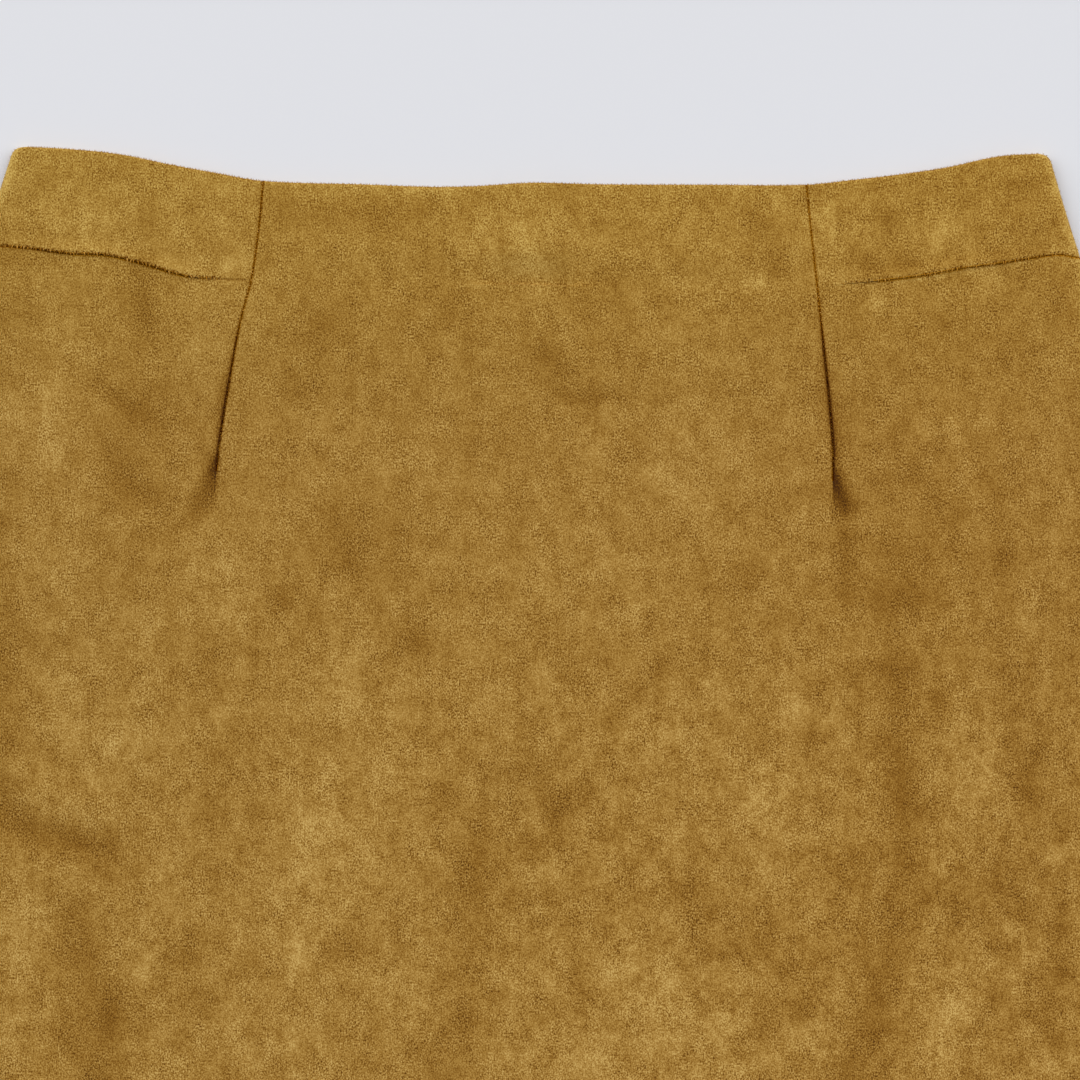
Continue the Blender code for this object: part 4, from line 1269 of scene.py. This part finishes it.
def endRow(edge, limit, inward, perMm):
    # along the top edge or the hem; inward is 1 where the cloth lies below it, -1 where above
    x = fibreTips(-limit, limit, perMm)
    below = edge(x)
    z = frontTop(x, below + inward * mm, inward > 0) - randomMm(fringe["edgeDepth"], len(x))
    return rooted(x, below + inward * fringe["edgeRoot"] * mm, z, (0.0, inward, fringe["edgeLift"]))


def sideRow(side, start, end, perMm):
    below = fibreTips(start, end, perMm) + topEdgeLine[-1][1 if side > 0 else 2]
    sides = np.full_like(below, side)
    step = 0.1 * mm
    slope = (sideEdge(sides, below + step) - sideEdge(sides, below - step)) / (2 * step)
    middle = pattern["fold"] / 2
    angle = fringeRandom.uniform(*fringe["sideAngles"], len(below))
    out = sideEdge(sides, below) - middle + middle * np.cos(angle) - fringe["edgeRoot"] * mm
    ways = np.stack((side * np.cos(angle), slope, np.sin(angle)), axis=1)
    ways /= np.linalg.norm(ways, axis=1, keepdims=True)
    return rooted(out * side, below, middle + middle * np.sin(angle), ways)


def waistRow(side, upper, perMm):
    x = side * fibreTips(*fringeSpans["waist"], perMm)
    least = fringe["seamStays"]
    x = x[fringeRandom.random(len(x)) < least + (1 - least) * bySide(waistSeamDark, x, abs(x))]
    below = waistSeam(x) + fringe["seamRoot"] * mm * (-1 if upper else 1)
    z = frontTop(x, below, upper) - randomMm(fringe["seamDepth"], len(x))
    return rooted(x, below, z, (0.0, -1.0, -0.15) if upper else (0.0, 1.0, 0.05))


def uprightRow(side, outer, perMm):
    below = fibreTips(*fringeSpans["upright"], perMm)
    away = side if outer else -side
    x = side * dartLine(np.full_like(below, side), below, False) + away * fringe["uprightRoot"] * mm
    z = frontTop(x, below, outer & (below < waistSeam(x))) - randomMm(fringe["seamDepth"], len(x))
    return rooted(x, below, z, (-away, 0.1, -0.05))


def waistTufts(side, kind):
    x = side * tuftSpots(fringeSpans["waistTufts"], kind["offset"])
    x = x[fringeRandom.random(len(x)) < tufts["stays"] + bySide(waistSeamDark, x, abs(x))]
    below = waistSeam(x) - randomMm(kind["above"], len(x))
    return rooted(x, below, frontTop(x, below, True) - kind["depth"] * mm, kind["way"])


def uprightTufts(side):
    below = tuftSpots(fringeSpans["uprightTufts"], 0.0)
    hand = fringeRandom.choice((-1.0, 1.0), len(below))
    x = side * (dartLine(np.full_like(below, side), below, False) - hand * tufts["uprightRoot"] * mm)
    z = frontTop(x, below, below < waistSeam(x)) - tufts["uprightDepth"] * mm
    down, inward = (np.full_like(hand, share) for share in tufts["uprightWay"])
    return rooted(x, below, z, np.stack((side * hand, down, inward), axis=1))


def makeNapFibre(name, look):
    # Single microfibres drawn out of the nap: each one has its own tone from the suede's range.
    made, tree, shader = startMaterial(name, {
        "Roughness": fringe["roughness"], "Specular IOR Level": look["gloss"],
        "Sheen Weight": look["sheen"], "Sheen Tint": linear(look["sheenTint"]),
    })
    tone = node(tree, "Attribute", {"attribute_name": "tone"})
    tree.links.new(toneColour(tree, tone.outputs["Fac"], look), shader.inputs["Base Color"])
    return made


napFibre = makeNapFibre("suede_nap_fibre", suedeLook)
shadedFibre = makeNapFibre("suede_nap_fibre_in_shade", shadedLook)
topLimit = sideLine[0][1] - pattern["corner"]
hemLimit = sideLine[-1][1] - pattern["fold"] / 2
fibresPerMm = {"top": 13, "hem": 4, "waist": 8, "upright": 5}
sideSpans = ((0.0003, 0.05, 9), (0.05, 0.6, 4))  # metres from the top corner, and fibres in a mm
hands = (-1, 1)
bothEdges = [(hand, edge) for hand in hands for edge in (True, False)]
fibrePieces = [
    makeFibres("top_edge_fibres", [endRow(lambda x: topEdge(x, False), topLimit, 1, fibresPerMm["top"])],
               fringe["edgeLengths"], napFibre),
    makeFibres("hem_edge_fibres", [endRow(hemEdge, hemLimit, -1, fibresPerMm["hem"])],
               fringe["edgeLengths"], napFibre),
    makeFibres("side_edge_fibres", [sideRow(hand, *span) for hand in hands for span in sideSpans],
               fringe["edgeLengths"], napFibre),
    makeFibres("waist_seam_fibres",
               [waistRow(hand, upper, fibresPerMm["waist"]) for hand, upper in bothEdges],
               fringe["waistLengths"], shadedFibre),
    makeFibres("upright_seam_fibres",
               [uprightRow(hand, outer, fibresPerMm["upright"]) for hand, outer in bothEdges],
               fringe["uprightLengths"], shadedFibre),
    makeFibres("waist_seam_tufts", [waistTufts(hand, lightTufts) for hand in hands],
               lightTufts["lengths"], shadedFibre, tufts["thick"], lightTufts["tone"]),
    makeFibres("waist_seam_painted_shade_tufts", [waistTufts(hand, darkTufts) for hand in hands],
               darkTufts["lengths"], shadedFibre, tufts["thick"], darkTufts["tone"]),
    makeFibres("upright_seam_tufts", [uprightTufts(hand) for hand in hands],
               tufts["uprightLengths"], shadedFibre, tufts["uprightThick"], lightTufts["tone"]),
]
print("fibres drawn out")

# the zip in the back seam: woven tapes, moulded coil, metal slider and pull
tapeLook = {
    "rib": 0.35,  # mm, width of a thread of the tape
    "wander": 0.4,
    "colours": ("#6A4E20", "#8C6C34"),
    "slant": 45,  # degrees, of the twill
    "roughness": 0.7,
    "relief": 0.4,
    "reliefDepth": 0.0001,
}
zipLook = {
    "tapeGrid": (12, 90),  # squares across and along a tape
    "coil": "#7B5C29",
    "coilRoughness": 0.4,
    "pitch": 0.75,  # mm from one turn of the coil to the next
    "turn": (2.3, 0.5, 0.36),  # mm: how long, broad and high a turn is
    "turnOff": 0.55,  # mm, each turn reaches over to its own side
    "turnEdge": 0.12,  # mm, rounding of its edges
    "coilEnds": 0.0010,  # from the tape's ends
    "metal": "#C9B98F",
    "wear": 10 / 9,  # mm across a patch of it
    "metalRoughness": (0.22, 0.42),
}


def zipStart():
    top, waist = float(topEdge(np.array(0.0), True)), float(waistSeam(np.array(0.0)))
    return top + zipPlace["slotEnd"] * (waist - top) + zipPlace["tapeStart"]


def tapeUnderside(x, below):
    return float(domeLift(np.array(x), np.array(below))) + pattern["cloth"] + zipPlace["sewn"]


def makeTape():
    # two woven tapes side by side, laid on the back's inner face
    start, length = zipStart(), zipPlace["end"] - zipStart()
    squaresAcross, squaresAlong = zipLook["tapeGrid"]
    bm = bmesh.new()
    bmesh.ops.create_grid(bm, x_segments=squaresAcross, y_segments=squaresAlong, size=0.5)
    bmesh.ops.solidify(bm, geom=bm.faces[:], thickness=1)
    bmesh.ops.recalc_face_normals(bm, faces=bm.faces[:])
    for vertex in bm.verts:
        x = vertex.co.x * 2 * zipPlace["tapeHalf"]
        below = start + (0.5 - vertex.co.y) * length
        upper = abs(vertex.co.z) < 0.5
        z = tapeUnderside(x, below) + (zipPlace["tape"] if upper else 0.0)
        vertex.co = (x, pattern["length"] / 2 - below, z)
    if bm.calc_volume(signed=True) < 0:
        bmesh.ops.reverse_faces(bm, faces=bm.faces[:])
    return skirtPiece(meshFrom("zip_tape_woven", bm), (makeTapeWeave(),), "zip_tape")


def makeCoil():
    # the turns of a moulded coil, left and right in turn, each a short bar with rounded edges
    long, broad, high = (size * mm for size in zipLook["turn"])
    bm = bmesh.new()
    below, hand = zipStart() + zipLook["coilEnds"], 1
    while below < zipPlace["end"] - zipLook["coilEnds"]:
        turn = bmesh.ops.create_cube(bm, size=1)["verts"]
        bmesh.ops.scale(bm, vec=(long, broad, high), verts=turn)
        z = tapeUnderside(0.0, below) + zipPlace["tape"] + high / 2
        place = (hand * zipLook["turnOff"] * mm, pattern["length"] / 2 - below, z)
        bmesh.ops.translate(bm, vec=place, verts=turn)
        below, hand = below + zipLook["pitch"] * mm, -hand
    edge = zipLook["turnEdge"] * mm
    bmesh.ops.bevel(bm, geom=bm.edges[:], offset=edge, affect="EDGES", segments=2, profile=0.5, material=-1)
    for face in bm.faces:
        face.smooth = True
    # Polyester monofilament, dyed to match and slightly glossy.
    finish = {"Base Color": linear(zipLook["coil"]), "Roughness": zipLook["coilRoughness"]}
    plastic = startMaterial("moulded_polyester_coil", finish)[0]
    return skirtPiece(meshFrom("zip_coil", bm), (plastic,))


def makeTapeWeave():
    # Woven polyester tape: a fine twill of dyed filament yarn.
    made, tree, shader = startMaterial("woven_polyester_tape", {"Roughness": tapeLook["roughness"]})
    place = node(tree, "TexCoord")
    slant = (0, 0, math.radians(tapeLook["slant"]))
    turned = node(tree, "Mapping", inputs={"Rotation": slant}, links={"Vector": place.outputs["Object"]})
    ribbedFinish(tree, shader, turned.outputs["Vector"], tapeLook)
    return made


def makePlating():
    # Zinc alloy with a pale brass plating, lightly worn, so its gloss is uneven.
    finish = {"Base Color": linear(zipLook["metal"]), "Metallic": 1.0}
    made, tree, shader = startMaterial("brass_plated_zinc", finish)
    place = node(tree, "TexCoord")
    wear = node(
        tree, "TexNoise", inputs={"Scale": 1 / (zipLook["wear"] * mm), "Detail": 3.0},
        links={"Vector": place.outputs["Object"]},
    )
    low, high = zipLook["metalRoughness"]
    worn = wear.outputs["Fac"]
    gloss = node(tree, "MapRange", inputs={"To Min": low, "To Max": high}, links={"Value": worn})
    tree.links.new(gloss.outputs["Result"], shader.inputs["Roughness"])
    return made


zipTape = makeTape()
zipCoil = makeCoil()
plating = makePlating()
for nodeName in ("zip_slider", "zip_pull"):
    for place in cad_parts[nodeName].material_slots:
        place.link = "OBJECT"
        place.material = plating
print("zip made")

# the length of the zip's tapes
tapeLength = zipPlace["end"] - zipStart()

# floor, light and camera
stage = {
    "floor": "#E4E5EA",
    "floorHalf": 8,
    "floorDrop": 0.0002,  # so that the cloth's underside doesn't flicker with it
    "floorRoughness": 0.95,
    "floorGloss": 0.1,
    "world": "#FFFFFF",
    "worldStrength": 0.14,
    "keyStrength": 2.12,
    "keySpread": 70,  # degrees across, as wide as a softbox near the table
    "keyFrom": (1.1, 0.68, 0.98),  # and its twin on the other side
}
# the camera looks straight down: metres that it sees across, the middle of them, and its turn
view = {"width": 0.3715, "x": 0.0041, "y": 0.1711, "turn": 0.93, "lens": 85, "sensor": 36}

bm = bmesh.new()
bmesh.ops.create_grid(bm, x_segments=1, y_segments=1, size=stage["floorHalf"])
bmesh.ops.translate(bm, vec=(0, 0, -stage["floorDrop"]), verts=bm.verts)
floor = linked("floor", meshFrom("floor", bm))
floor.data.materials.append(startMaterial("matt_backdrop_paper", {
    "Base Color": linear(stage["floor"]), "Roughness": stage["floorRoughness"],
    "Specular IOR Level": stage["floorGloss"],
})[0])

world = bpy.data.worlds.new("studio")
world.use_nodes = True
world.node_tree.nodes["Background"].inputs["Color"].default_value = linear(stage["world"])
world.node_tree.nodes["Background"].inputs["Strength"].default_value = stage["worldStrength"]
bpy.context.scene.world = world

for hand in hands:
    softbox = bpy.data.lights.new("softbox", "SUN")
    softbox.angle = math.radians(stage["keySpread"])
    softbox.energy = stage["keyStrength"]
    keyX, keyY, keyZ = stage["keyFrom"]
    lamp = linked("softbox", softbox)
    lamp.location = (hand * keyX, keyY, keyZ)
    lamp.rotation_euler = (-lamp.location).to_track_quat("-Z", "Y").to_euler()

camera = bpy.data.cameras.new("camera")
camera.lens, camera.sensor_width = view["lens"], view["sensor"]
camera.clip_start, camera.clip_end = 0.01, 50
cameraObject = linked("camera", camera)
away = view["width"] * view["lens"] / view["sensor"]
cameraObject.location = (view["x"], view["y"], away + pattern["seamLevel"])
cameraObject.rotation_euler = (0, 0, math.radians(view["turn"]))
bpy.context.scene.camera = cameraObject
bpy.context.scene.view_settings.view_transform = "Standard"
print("stage, light and camera placed")
